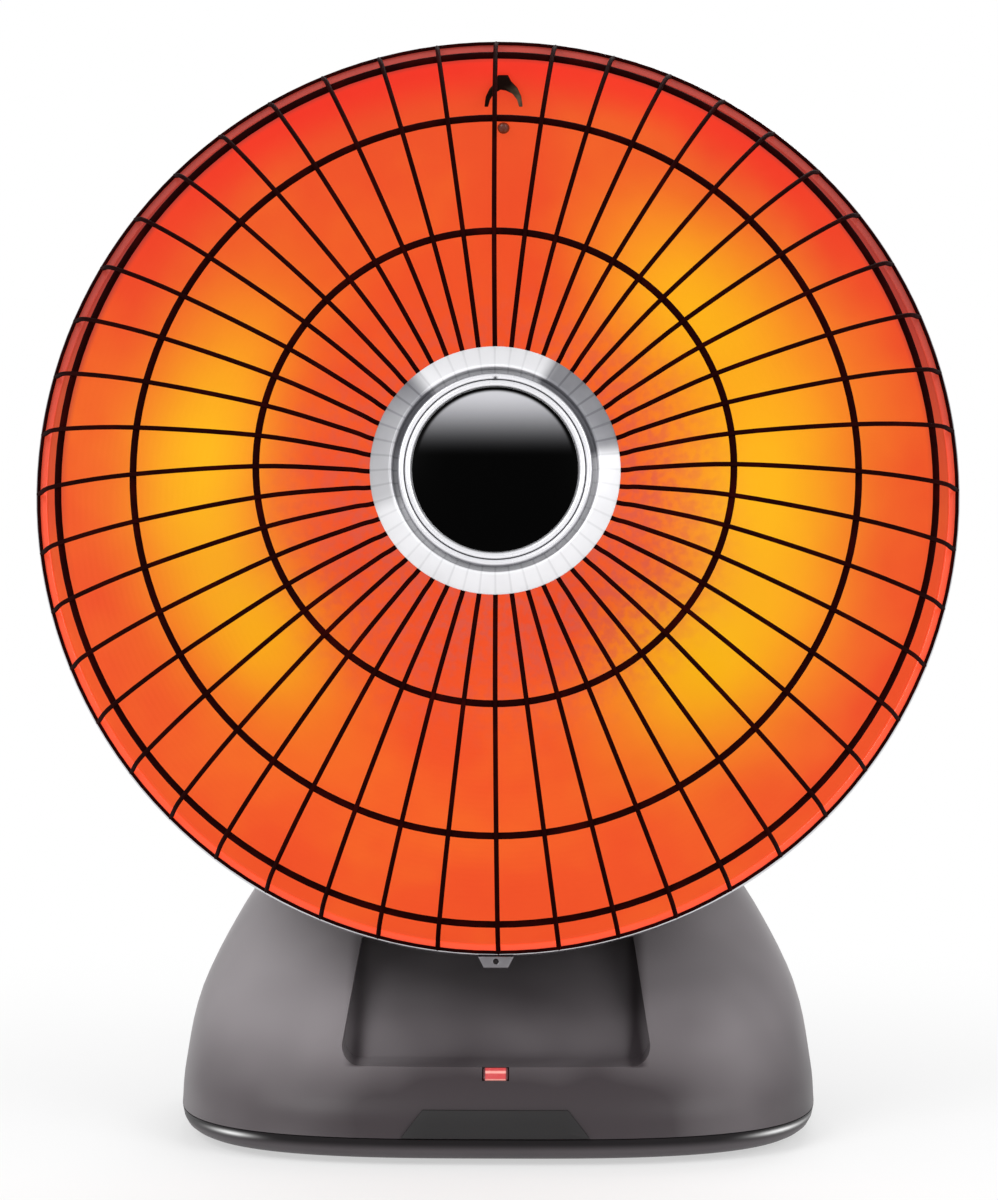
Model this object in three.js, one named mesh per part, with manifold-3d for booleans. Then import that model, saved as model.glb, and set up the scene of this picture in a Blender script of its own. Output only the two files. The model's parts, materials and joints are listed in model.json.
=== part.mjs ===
// A free-standing parabolic heater: a tilting dish with a welded wire guard on a moulded base.
// Millimetres, +Z up, the front faces -Y. "Forward" distances are measured towards -Y.

import * as THREE from 'three';
import { mergeVertices } from 'three/addons/utils/BufferGeometryUtils.js';
import Module from 'manifold-3d';

const wasm = await Module();
wasm.setup();

// ---------------------------------------------------------------- driving dimensions

// Clearances
const SEAT_GAP = 0.3;            // between pieces that rest on each other
const RUN_GAP = 0.35;            // between a pin or shaft and its bore
const BEYOND = 500;              // side of a cutting block larger than the base

// Facets
const DISH_SEGMENTS = 40;        // sides of the bowl, the shell and the rim band
const BELL_COUNT = 30;           // sides of the bell's plan sections
const BELL_STEPS = 8;            // sections of the bell above its foot

// Dish
const RIM_RADIUS = 207;          // outside of the rim band
const RIM_WALL = 1.2;
const RIM_DEPTH = 9;
const REFLECTOR_DEPTH = 84;      // rim plane to vertex
const REFLECTOR_WALL = 1;
const REFLECTOR_LIP = 4.5;       // flat lip that the rim band clamps
const SHELL_WALL = 1;
const SHELL_OFFSET = 10;         // air space between bowl and rear shell
const SHELL_SEAT_SPACE = 5;      // air space behind the bowl's vertex
const SHELL_SEAT_RADIUS = 80;    // flat middle of the rear shell, which carries the pod
const REST_TILT = 12;            // degrees that the dish looks up as photographed

// Guard
const WIRE_COUNT = 48;
const WIRE_DIAMETER = 2;
const RING_WIRE_DIAMETER = 3;
const WELD_THICKNESS = 2.4;      // wires and rings are pressed level where they are welded
const WIRE_CLOCKING = 0.3;       // degrees
const OUTER_RING = { radius: RIM_RADIUS - 12, forward: 26 };
const MIDDLE_RING = { radius: RIM_RADIUS * 0.766, forward: 59 };
const INNER_RING = { radius: RIM_RADIUS * 0.5, forward: 81 };
const WIRE_SHOULDER = { radius: 66, forward: 72 };
const WIRE_BEND = { radius: 56.5, forward: 65.6 };
const HUB_RING = { radius: 47, forward: 64.4 };

// Hub
const FLANGE_RADIUS = 54.4;
const FLANGE_INNER_RADIUS = 45.5;
const FLANGE_RISE = 3.2;
const FLANGE_WALL = 1;
const BEZEL_OUTER_RADIUS = 42.4;
const BEZEL_INNER_RADIUS = 36.3;
const BEZEL_HEIGHT = 3.6;
const DISC_THICKNESS = 1.6;
const HUB_PLATE_RADIUS = 51;
const HUB_PLATE_THICKNESS = 2;
const HUB_SCREW_RADIUS = 2;

// Element
const COIL_TURNS = 12;
const COIL_PITCH = 3.6;
const COIL_WIRE_DIAMETER = 2.4;
const FORMER_REAR_RADIUS = 21;
const FORMER_FRONT_RADIUS = 17;
const FORMER_FLANGE = 4;         // how far the end flanges stand out of the former
const FORMER_FLANGE_THICKNESS = 3.5;
const FORMER_FRONT = 54;         // forward of the rim plane
const POST_RADIUS = 8;
const SPIGOT_RADIUS = 5;
const SPIGOT_LENGTH = 22;
const ELEMENT_PLATE_RADIUS = 30;
const ELEMENT_PLATE_THICKNESS = 2;
const ELEMENT_NUT_RADIUS = 13;
const ELEMENT_NUT_THICKNESS = 5;

// Pod, neck and handle behind the dish
const POD_RADIUS = 74;
const POD_DEPTH = 27;
const POD_WALL = 3;
const COVER_CROWN = 11;
const NECK_HALF_WIDTH = 56;
const NECK_THICKNESS = 34;
const PIVOT_BOSS_RADIUS = 19;
const HANDLE_SPAN = 120;
const HANDLE_RISE = 42;
const HANDLE_RADIUS = 9;
const HANDLE_HEIGHT = RIM_RADIUS - 79;   // above the dish axis

// Tilt pivot
const PIVOT_HEIGHT = 140;
const PIVOT_FORWARD = -20;
const RIM_FORWARD = 96.7;        // pivot to rim plane, along the dish axis
const AXIS_RISE = 135.8;         // pivot to dish axis, square to it
const PIN_RADIUS = 6;
const PIN_ENGAGEMENT = 10;       // depth of the pin in the neck
const WASHER_RADIUS = 16;

// Base
const BASE_WALL = 3;
const PARTING_HEIGHT = 13;
const TRAY_GAP = 0.4;
const FOOT_HEIGHT = 2.2;
const FOOT_RADIUS = 10;
const REAR_FLAT = 106;           // rear wall's flat, behind the base's middle
const RECESS_HALF_WIDTH = 68.5;
const RECESS_BOTTOM = 42;
const RECESS_FORWARD = 76;       // where its sloping rear wall meets its floor
const RECESS_CORNER = 8;
const SLOT_HALF_WIDTH = 60;
const SLOT_FLOOR = PIVOT_HEIGHT - 40;
const SLOT_REAR = 62;
const SLOT_TOP = 260;            // above all of the base
const BELL_POWER = 3.1;          // squareness of the plan outline
// the bell's outline: height, half width, front, rear
const BELL = [
  [PARTING_HEIGHT, 145, 113, 115],
  [30, 143, 107, 116],
  [60, 134.5, 80, 116],
  [93, 118, 39, 111],
  [PIVOT_HEIGHT - 15, SLOT_HALF_WIDTH + 39, 14, 94],
  [PIVOT_HEIGHT + 10, SLOT_HALF_WIDTH + 29, 3, 80],
  [PIVOT_HEIGHT + 21, SLOT_HALF_WIDTH + 24, -1, 74],
  [PIVOT_HEIGHT + 25, SLOT_HALF_WIDTH + 19, -7, 68],
];

// Controls and fittings of the base
const KNOB_X = -50;
const KNOB_HEIGHT = 58;
const KNOB_RADIUS = 18;
const KNOB_DEPTH = 16;
const KNOB_FLUTES = 12;
const SHAFT_RADIUS = 3;
const SHAFT_ENGAGEMENT = 12;
const THERMOSTAT_SIZE = 32;
const THERMOSTAT_DEPTH = 24;
const ROCKER_X = 50;
const ROCKER_WIDTH = 13;
const ROCKER_LENGTH = 24;
const ROCKER_ANGLE = 10;         // degrees either side of level
const GLAND_HEIGHT = 30;
const GLAND_RADIUS = 8;
const GLAND_BORE = 3.6;
const LENS_WIDTH = 11.2;
const LENS_HEIGHT = 6.2;
const LENS_CENTRE = 39.5;
const PLATE_TOP = 25.5;
const PLATE_TOP_HALF_WIDTH = 32;
const PLATE_BOTTOM_HALF_WIDTH = 41.5;
const PLATE_THICKNESS = 1.5;
const PLUNGER_X = 40;
const PLUNGER_FORWARD = 30;
const PLUNGER_RADIUS = 4;
const TIP_SWITCH_SIZE = 20;
const TIP_SWITCH_WALL = 2.5;
const BOARD_THICKNESS = 1.6;
const BOARD_HEIGHT = 15;
const BOARD_CENTRE = { x: -30, forward: 10 };
const BOARD_SIZE = { width: 70, depth: 50 };
const BOARD_POST_RADIUS = 3;
const BOARD_POST_INSET = 5;
const TRAY_SCREW_RADIUS = 1.6;
const TRAY_SCREW_BITE = 8;       // into the housing's bosses
const TRAY_BOSS_RADIUS = 5;
const TRAY_BOSSES = [[-112, 62], [112, 62], [-118, -70], [118, -70]];   // x, forward
const BOSS_TOP = 75;             // where the bosses have run into the housing's wall
const FOOT_INSET = 16;           // feet sit inwards of the bosses

// Small parts of the bowl
const BRACKET_RADIUS = RIM_RADIUS - 29;
const BRACKET_X = 2;
const BOWL_SCREW_RADIUS = RIM_RADIUS - 38;
const SHELL_SLOT_RADIUS = 118;
const SHELL_SLOT_COUNT = 14;
const COVER_SLOT_COUNT = 5;
const COVER_SLOT_SPACING = 14;

// ---------------------------------------------------------------- geometry helpers

const rad = (degrees) => THREE.MathUtils.degToRad(degrees);

// Shared vertices, no flat triangles, faces pointing out.
function closed(geometry) {
  const bare = new THREE.BufferGeometry();
  bare.setAttribute('position', geometry.getAttribute('position').clone());
  if (geometry.index) bare.setIndex(geometry.index.clone());
  const merged = mergeVertices(bare, 1e-4);
  const position = merged.getAttribute('position');
  const index = merged.index.array;
  const kept = [];
  let volume = 0;
  const [a, b, c] = [new THREE.Vector3(), new THREE.Vector3(), new THREE.Vector3()];
  for (let i = 0; i < index.length; i += 3) {
    const [p, q, r] = [index[i], index[i + 1], index[i + 2]];
    if (p === q || q === r || r === p) continue;
    kept.push(p, q, r);
    a.fromBufferAttribute(position, p);
    b.fromBufferAttribute(position, q);
    c.fromBufferAttribute(position, r);
    volume += a.dot(b.cross(c));
  }
  if (volume < 0) kept.reverse();
  merged.setIndex(kept);
  return merged;
}

function solid(geometry) {
  const whole = closed(geometry);
  return new wasm.Manifold(new wasm.Mesh({
    numProp: 3,
    vertProperties: new Float32Array(whole.getAttribute('position').array),
    triVerts: new Uint32Array(whole.index.array),
  }));
}

function geometryOf(manifold) {
  const mesh = manifold.getMesh();
  const geometry = new THREE.BufferGeometry();
  geometry.setAttribute('position', new THREE.BufferAttribute(new Float32Array(mesh.vertProperties), 3));
  geometry.setIndex(new THREE.BufferAttribute(new Uint32Array(mesh.triVerts), 1));
  return geometry;
}

const joined = (...solids) => solids.reduce((whole, next) => whole.add(next));

// A turned piece about Y, from [radius, forward] points.
function turned(profile, segments = 32) {
  const points = profile.map(([radius, forward]) => new THREE.Vector2(radius, -forward));
  const [first, last] = [profile[0], profile[profile.length - 1]];
  if (first[0] > 0 || last[0] > 0) points.push(points[0].clone());
  return closed(new THREE.LatheGeometry(points, segments));
}

// A turned piece about Z, from [radius, height] points.
function turnedUpright(profile, segments = 20) {
  const upright = turned(profile.map(([radius, height]) => [radius, -height]), segments);
  return upright.rotateX(Math.PI / 2);
}

function box(width, depth, height, x = 0, y = 0, z = 0) {
  return new THREE.BoxGeometry(width, depth, height).translate(x, y, z);
}

// A cylinder along Y between two forward distances.
function rodY(radius, fromY, toY, x, z, segments = 20) {
  const rod = new THREE.CylinderGeometry(radius, radius, toY - fromY, segments);
  return rod.translate(x, (fromY + toY) / 2, z);
}

function rodX(radius, fromX, toX, y, z, segments = 20) {
  const rod = new THREE.CylinderGeometry(radius, radius, toX - fromX, segments);
  return rod.rotateZ(Math.PI / 2).translate((fromX + toX) / 2, y, z);
}

function rodZ(radius, fromZ, toZ, x, y, segments = 20) {
  const rod = new THREE.CylinderGeometry(radius, radius, toZ - fromZ, segments);
  return rod.rotateX(Math.PI / 2).translate(x, y, (fromZ + toZ) / 2);
}

// A flat outline in X and Z, given depth along Y from fromY to toY.
function plateXZ(shape, fromY, toY, curveSegments = 3) {
  const settings = { depth: toY - fromY, bevelEnabled: false, curveSegments };
  return new THREE.ExtrudeGeometry(shape, settings).rotateX(Math.PI / 2).translate(0, toY, 0);
}

// A side outline in forward and Z, given width along X.
function plateSide(points, halfWidth) {
  const shape = new THREE.Shape(points.map(([forward, height]) => new THREE.Vector2(-forward, height)));
  const settings = { depth: 2 * halfWidth, bevelEnabled: false };
  const plate = new THREE.ExtrudeGeometry(shape, settings);
  const axes = new THREE.Matrix4().makeBasis(
    new THREE.Vector3(0, 1, 0), new THREE.Vector3(0, 0, 1), new THREE.Vector3(1, 0, 0));
  return plate.applyMatrix4(axes).translate(-halfWidth, 0, 0);
}

function roundedRectangle(width, height, corner, x = 0, y = 0) {
  const shape = new THREE.Shape();
  const [w, h] = [width / 2 - corner, height / 2 - corner];
  shape.absarc(x + w, y + h, corner, 0, Math.PI / 2);
  shape.absarc(x - w, y + h, corner, Math.PI / 2, Math.PI);
  shape.absarc(x - w, y - h, corner, Math.PI, 1.5 * Math.PI);
  shape.absarc(x + w, y - h, corner, 1.5 * Math.PI, 2 * Math.PI);
  return shape;
}

function polygon(sides, radius, turn = 0) {
  const corners = Array.from({ length: sides }, (_, i) => {
    const angle = turn + (2 * Math.PI * i) / sides;
    return new THREE.Vector2(radius * Math.cos(angle), radius * Math.sin(angle));
  });
  return new THREE.Shape(corners);
}

// A path that keeps its own stations, so that steps fall on them.
class StationPath extends THREE.Curve {
  constructor(stations) {
    super();
    this.stations = stations;
  }

  getPoint(t, target = new THREE.Vector3()) {
    const along = t * (this.stations.length - 1);
    const i = Math.min(Math.floor(along), this.stations.length - 2);
    return target.lerpVectors(this.stations[i], this.stations[i + 1], along - i);
  }

  getPointAt(t, target) {
    return this.getPoint(t, target);
  }

  getTangentAt(t, target = new THREE.Vector3()) {
    const half = 0.5 / (this.stations.length - 1);
    const before = this.getPoint(Math.max(t - half, 0));
    return target.copy(this.getPoint(Math.min(t + half, 1))).sub(before).normalize();
  }
}

function tube(stations, radius, sides) {
  const path = new StationPath(stations);
  const settings = { steps: stations.length - 1, extrudePath: path, bevelEnabled: false };
  return closed(new THREE.ExtrudeGeometry(polygon(sides, radius, Math.PI / sides), settings));
}

// ---------------------------------------------------------------- finishes

const finish = (color, roughness, metalness) =>
  new THREE.MeshStandardMaterial({ color, roughness, metalness });
const FINISH = {
  guard: () => finish(0x1c0a08, 0.45, 0.3),
  chrome: () => finish(0xd9d9dc, 0.12, 1),
  polished: () => finish(0xc8c8ca, 0.25, 1),
  reflector: () => finish(0xee5a28, 0.2, 0.6),
  black: () => finish(0x141416, 0.5, 0),
  gloss: () => finish(0x060607, 0.06, 0),
  shell: () => finish(0x1d1d1f, 0.55, 0.2),
  housing: () => finish(0x6b676a, 0.4, 0),
  tray: () => finish(0x4c494c, 0.5, 0),
  steel: () => finish(0x9a9a9e, 0.35, 1),
  ceramic: () => finish(0xe6ddcb, 0.8, 0),
  coil: () => finish(0xff5a1e, 0.6, 0.2),
  rubber: () => finish(0x18181a, 0.9, 0),
  lens: () => finish(0xe07078, 0.2, 0),
  nylon: () => finish(0xdedbd0, 0.6, 0),
  board: () => finish(0x2d5a3a, 0.6, 0),
};

function piece(name, geometry, material, parent) {
  const mesh = new THREE.Mesh(closed(geometry), material);
  mesh.name = name;
  parent.add(mesh);
  return mesh;
}

// ---------------------------------------------------------------- derived levels of the dish

const LIP_RADIUS = RIM_RADIUS - RIM_WALL - SEAT_GAP;
const APERTURE_RADIUS = LIP_RADIUS - REFLECTOR_LIP;
const WIRE_FORWARD = SEAT_GAP + (RING_WIRE_DIAMETER + WELD_THICKNESS * 0.4) / 2;
const WIRE_RIM_RADIUS = RIM_RADIUS - 0.5 - RING_WIRE_DIAMETER / 2;
const LIP_FORWARD = -RIM_WALL - SEAT_GAP;
const bowl = (radius) => LIP_FORWARD - REFLECTOR_DEPTH * (1 - (radius / APERTURE_RADIUS) ** 2);
const shellOuter = (radius) =>
  bowl(radius) - REFLECTOR_WALL - SHELL_OFFSET * Math.sqrt(1 - (radius / APERTURE_RADIUS) ** 8);
const SEAT_FORWARD = bowl(0) - REFLECTOR_WALL - SHELL_SEAT_SPACE;
const SEAT_BACK = SEAT_FORWARD - SHELL_WALL;
const ELEMENT_PLATE_BACK = bowl(ELEMENT_PLATE_RADIUS) + SEAT_GAP;
const COIL_LENGTH = COIL_TURNS * COIL_PITCH;
const FORMER_LENGTH = COIL_LENGTH + COIL_WIRE_DIAMETER + 2 * FORMER_FLANGE_THICKNESS + 2;
const FORMER_REAR = FORMER_FRONT - FORMER_LENGTH;
const FLANGE_SEAT = HUB_RING.forward + WIRE_DIAMETER / 2 + SEAT_GAP + 0.1;
const FLANGE_FACE = FLANGE_SEAT + FLANGE_WALL;
const HUB_PLATE_FRONT = HUB_RING.forward - WIRE_DIAMETER / 2 - SEAT_GAP;
const HUB_PLATE_BACK = HUB_PLATE_FRONT - HUB_PLATE_THICKNESS;
const COVER_FRONT = SEAT_BACK - SEAT_GAP - POD_DEPTH - SEAT_GAP;

// ---------------------------------------------------------------- the guard

// Stations of one radial wire in radius and forward distance, from the rim wire to the hub.
// A station on a ring is a weld; the others only bend the wire.
function wireStations() {
  const welds = [{ radius: WIRE_RIM_RADIUS, forward: WIRE_FORWARD }, OUTER_RING, MIDDLE_RING, INNER_RING];
  const knots = [...welds, WIRE_SHOULDER, WIRE_BEND, HUB_RING];
  const curve = new THREE.CatmullRomCurve3(
    knots.map(({ radius, forward }) => new THREE.Vector3(radius, forward, 0)), false, 'catmullrom', 0.5);
  const bowedSpans = [2];
  const stations = [];
  knots.forEach((_, i) => {
    const spots = bowedSpans.includes(i) ? [i, i + 0.5] : [i];
    spots.forEach((spot) => stations.push({
      at: curve.getPoint(spot / (knots.length - 1)),
      tangent: curve.getTangent(spot / (knots.length - 1)),
      weld: spot === i && i < welds.length,
    }));
  });
  return stations;
}

// The welded guard as one lattice: a block at each weld, joined by straight runs of wire.
function grille() {
  const stations = wireStations();
  const positions = [];
  const index = [];
  const corner = (point) => {
    positions.push(point.x, point.y, point.z);
    return positions.length / 3 - 1;
  };
  const quad = (a, b, c, d) => index.push(a, b, c, a, c, d);
  const run = (from, to) => {
    for (let k = 0; k < 4; k += 1) quad(from[k], from[(k + 1) % 4], to[(k + 1) % 4], to[k]);
  };
  const welds = [];
  for (let i = 0; i < WIRE_COUNT; i += 1) {
    const angle = rad(WIRE_CLOCKING) + (2 * Math.PI * i) / WIRE_COUNT;
    const outward = new THREE.Vector3(Math.cos(angle), 0, Math.sin(angle));
    const around = new THREE.Vector3(-Math.sin(angle), 0, Math.cos(angle));
    const place = (radius, forward) => outward.clone().multiplyScalar(radius).setY(-forward);
    const wire = stations.map(({ at, tangent, weld }) => {
      const along = place(tangent.x, tangent.y);
      const normal = place(tangent.y, -tangent.x);
      const spot = (t, n, m) => corner(place(at.x, at.y).addScaledVector(around, (t * WIRE_DIAMETER) / 2)
        .addScaledVector(normal, (n * WELD_THICKNESS) / 2).addScaledVector(along, m));
      const loop = (m) => [spot(-1, -1, m), spot(1, -1, m), spot(1, 1, m), spot(-1, 1, m)];
      if (!weld) {
        const single = loop(0);
        return { enter: single, leave: single };
      }
      const [enter, leave] = [loop(-RING_WIRE_DIAMETER / 2), loop(RING_WIRE_DIAMETER / 2)];
      quad(enter[3], leave[3], leave[2], enter[2]);
      quad(enter[1], leave[1], leave[0], enter[0]);
      return { enter, leave, back: [enter[0], enter[3], leave[3], leave[0]],
        ahead: [enter[1], enter[2], leave[2], leave[1]] };
    });
    for (let k = 0; k + 1 < wire.length; k += 1) run(wire[k].leave, wire[k + 1].enter);
    quad(...[...wire[0].enter].reverse());
    quad(...wire[wire.length - 1].leave);
    welds.push(wire.filter((station) => station.ahead));
  }
  welds.forEach((wire, i) => {
    wire.forEach((weld, ring) => run(weld.ahead, welds[(i + 1) % WIRE_COUNT][ring].back));
  });
  const geometry = new THREE.BufferGeometry();
  geometry.setAttribute('position', new THREE.Float32BufferAttribute(positions, 3));
  geometry.setIndex(index);
  return geometry;
}

// ---------------------------------------------------------------- the bowl and its rim

function radii(from, to, count) {
  return Array.from({ length: count }, (_, i) => from + ((to - from) * i) / (count - 1));
}

function reflector() {
  const hole = POST_RADIUS + RUN_GAP;
  const stations = [hole, ELEMENT_PLATE_RADIUS, ...radii(2.2 * ELEMENT_PLATE_RADIUS, APERTURE_RADIUS, 5)];
  const front = stations.map((r) => [r, bowl(r)]);
  const back = [...front].reverse().map(([r, f]) => [r, f - REFLECTOR_WALL]);
  const lip = [[LIP_RADIUS, LIP_FORWARD], [LIP_RADIUS, LIP_FORWARD - REFLECTOR_WALL]];
  return turned([...front, ...lip, ...back], DISH_SEGMENTS);
}

function rimBand() {
  const inner = LIP_RADIUS - REFLECTOR_LIP + 1;
  const outer = RIM_RADIUS;
  const corner = 0.8;
  return turned([
    [inner, -RIM_WALL], [inner, 0], [outer - corner, 0], [outer, -corner], [outer, -RIM_DEPTH],
    [outer - RIM_WALL, -RIM_DEPTH], [outer - RIM_WALL, -RIM_WALL],
  ], DISH_SEGMENTS);
}

// The rear shell carries a ring of cooling slots and the flat seat of the pod.
function rearShell() {
  const hole = POST_RADIUS + RUN_GAP;
  const lipFront = LIP_FORWARD - REFLECTOR_WALL - SEAT_GAP;
  const back = radii(SHELL_SEAT_RADIUS + 6, APERTURE_RADIUS - 1, 4).map((r) => [r, shellOuter(r)]);
  const outside = [[hole, SEAT_BACK], [SHELL_SEAT_RADIUS, SEAT_BACK], ...back,
    [LIP_RADIUS, lipFront - SHELL_WALL]];
  const inside = outside.map(([r, f]) => [r, f + SHELL_WALL]).reverse();
  const shell = solid(turned([...outside, ...inside], DISH_SEGMENTS));
  const slot = box(34, 60, 5);
  let slots = null;
  for (let i = 0; i < SHELL_SLOT_COUNT; i += 1) {
    const angle = (2 * Math.PI * (i + 0.5)) / SHELL_SLOT_COUNT;
    const cut = slot.clone().translate(SHELL_SLOT_RADIUS, 0, 0).rotateY(angle);
    const cutter = solid(cut.translate(0, -shellOuter(SHELL_SLOT_RADIUS), 0));
    slots = slots ? slots.add(cutter) : cutter;
  }
  return geometryOf(shell.subtract(slots));
}

function sensorBracket() {
  const height = 14;
  const half = 8;
  const leg = 3;
  const shape = new THREE.Shape([
    new THREE.Vector2(-half, 0), new THREE.Vector2(-half + leg, 0), new THREE.Vector2(0, height - 5),
    new THREE.Vector2(half - leg, 0), new THREE.Vector2(half, 0), new THREE.Vector2(2, height),
    new THREE.Vector2(-2, height),
  ]);
  return plateXZ(shape, -1, 1);
}

function panScrew(headRadius, headHeight, shankRadius, shankLength) {
  return turned([
    [0, headHeight], [headRadius * 0.6, headHeight], [headRadius, headHeight * 0.35], [headRadius, 0],
    [shankRadius, 0], [shankRadius, -shankLength], [0, -shankLength],
  ], 8);
}

function nut(radius, bore, thickness) {
  const shape = polygon(6, radius);
  const hole = new THREE.Path();
  hole.absarc(0, 0, bore, 0, 2 * Math.PI, true);
  shape.holes.push(hole);
  return plateXZ(shape, -thickness, 0, 6);
}

// ---------------------------------------------------------------- the hub

function hubFlange() {
  const bore = HUB_SCREW_RADIUS + RUN_GAP;
  const edge = WIRE_BEND.forward + WIRE_DIAMETER / 2 + 0.1;
  const top = edge + FLANGE_RISE;
  return turned([
    [bore, FLANGE_SEAT], [bore, FLANGE_FACE], [FLANGE_INNER_RADIUS - 1.4, FLANGE_FACE],
    [FLANGE_INNER_RADIUS - 0.4, top + FLANGE_WALL], [FLANGE_INNER_RADIUS + 0.6, top + FLANGE_WALL],
    [FLANGE_RADIUS, edge + FLANGE_WALL], [FLANGE_RADIUS, edge], [FLANGE_INNER_RADIUS + 0.9, top],
    [FLANGE_INNER_RADIUS + 0.3, FLANGE_SEAT],
  ], 24);
}

// Trim ring with two rounded beads and a ledge for the disc.
function hubBezel() {
  const seat = FLANGE_FACE + SEAT_GAP;
  const crest = seat + BEZEL_HEIGHT;
  const middle = (BEZEL_OUTER_RADIUS + BEZEL_INNER_RADIUS) / 2;
  const bead = (BEZEL_OUTER_RADIUS - BEZEL_INNER_RADIUS) / 4;
  const ledge = crest - DISC_THICKNESS - 0.6;
  const dome = (centre) => [-1, 0, 1].map((s) =>
    [centre - s * bead * 0.92, crest - bead * (1 - Math.sqrt(1 - (s * 0.92) ** 2))]);
  return turned([
    [BEZEL_OUTER_RADIUS, seat], ...dome(middle + bead), ...dome(middle - bead),
    [BEZEL_INNER_RADIUS, ledge], [BEZEL_INNER_RADIUS - 3, ledge], [BEZEL_INNER_RADIUS - 3, seat],
  ], 24);
}

function hubDisc() {
  const crest = FLANGE_FACE + SEAT_GAP + BEZEL_HEIGHT;
  const back = crest - DISC_THICKNESS - 0.6 + SEAT_GAP;
  const radius = BEZEL_INNER_RADIUS - SEAT_GAP;
  const face = back + DISC_THICKNESS;
  return turned([[0, back], [radius, back], [radius, face - 0.5], [radius - 0.6, face],
    [0, face + 0.5]], 24);
}

function hubBackPlate() {
  const bore = HUB_SCREW_RADIUS + RUN_GAP;
  return turned([[bore, HUB_PLATE_BACK], [bore, HUB_PLATE_FRONT],
    [HUB_PLATE_RADIUS - 1, HUB_PLATE_FRONT], [HUB_PLATE_RADIUS, HUB_PLATE_FRONT - 0.8],
    [HUB_PLATE_RADIUS, HUB_PLATE_BACK]], 20);
}

// ---------------------------------------------------------------- the element

const formerRadius = (forward) => {
  const share = (forward - FORMER_REAR) / FORMER_LENGTH;
  return FORMER_REAR_RADIUS + (FORMER_FRONT_RADIUS - FORMER_REAR_RADIUS) * share;
};

function elementFormer() {
  const rear = FORMER_REAR + FORMER_FLANGE_THICKNESS;
  const front = FORMER_FRONT - FORMER_FLANGE_THICKNESS;
  const bore = SPIGOT_RADIUS + RUN_GAP;
  return turned([
    [0, FORMER_REAR + SPIGOT_LENGTH + 1], [bore, FORMER_REAR + SPIGOT_LENGTH + 1], [bore, FORMER_REAR],
    [formerRadius(rear) + FORMER_FLANGE, FORMER_REAR], [formerRadius(rear) + FORMER_FLANGE, rear],
    [formerRadius(rear), rear], [formerRadius(front), front],
    [formerRadius(front) + FORMER_FLANGE, front],
    [formerRadius(front) + FORMER_FLANGE, FORMER_FRONT - 1],
    [formerRadius(front) + FORMER_FLANGE - 1, FORMER_FRONT], [0, FORMER_FRONT],
  ], 20);
}

// One unbroken winding on the tapered former, and its least gap to itself.
function heaterCoil() {
  const perTurn = 10;
  const steps = COIL_TURNS * perTurn;
  const start = FORMER_REAR + FORMER_FLANGE_THICKNESS + 1 + COIL_WIRE_DIAMETER / 2;
  const stations = Array.from({ length: steps + 1 }, (_, i) => {
    const angle = (2 * Math.PI * i) / perTurn;
    const forward = start + (COIL_LENGTH * i) / steps;
    const inside = (formerRadius(forward) + SEAT_GAP) / Math.cos(Math.PI / perTurn);
    const radius = inside + COIL_WIRE_DIAMETER / 2;
    return new THREE.Vector3(radius * Math.cos(angle), -forward, radius * Math.sin(angle));
  });
  let least = Infinity;
  for (let i = 0; i < stations.length; i += 1) {
    for (let j = i + perTurn / 2; j < stations.length; j += 1) {
      least = Math.min(least, stations[i].distanceTo(stations[j]));
    }
  }
  console.log(`heater_coil: least gap to itself ${(least - COIL_WIRE_DIAMETER).toFixed(2)} mm`);
  return tube(stations, COIL_WIRE_DIAMETER / 2, 5);
}

function elementPost() {
  const foot = ELEMENT_PLATE_BACK + ELEMENT_PLATE_THICKNESS + SEAT_GAP;
  const top = FORMER_REAR - SEAT_GAP;
  const end = SEAT_BACK - SEAT_GAP - 8;
  return turned([
    [0, end], [POST_RADIUS, end], [POST_RADIUS, foot], [POST_RADIUS + 7, foot],
    [POST_RADIUS + 7, foot + 3], [POST_RADIUS + 1, foot + 5], [POST_RADIUS, top - 4],
    [POST_RADIUS + 4, top], [SPIGOT_RADIUS, top], [SPIGOT_RADIUS, top + SPIGOT_LENGTH],
    [0, top + SPIGOT_LENGTH],
  ], 16);
}

function elementPlate() {
  const bore = POST_RADIUS + RUN_GAP;
  const front = ELEMENT_PLATE_BACK + ELEMENT_PLATE_THICKNESS;
  return turned([[bore, ELEMENT_PLATE_BACK], [bore, front], [ELEMENT_PLATE_RADIUS - 2, front],
    [ELEMENT_PLATE_RADIUS, ELEMENT_PLATE_BACK + 0.8], [ELEMENT_PLATE_RADIUS, ELEMENT_PLATE_BACK]], 20);
}

// ---------------------------------------------------------------- pod, neck and handle

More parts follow.
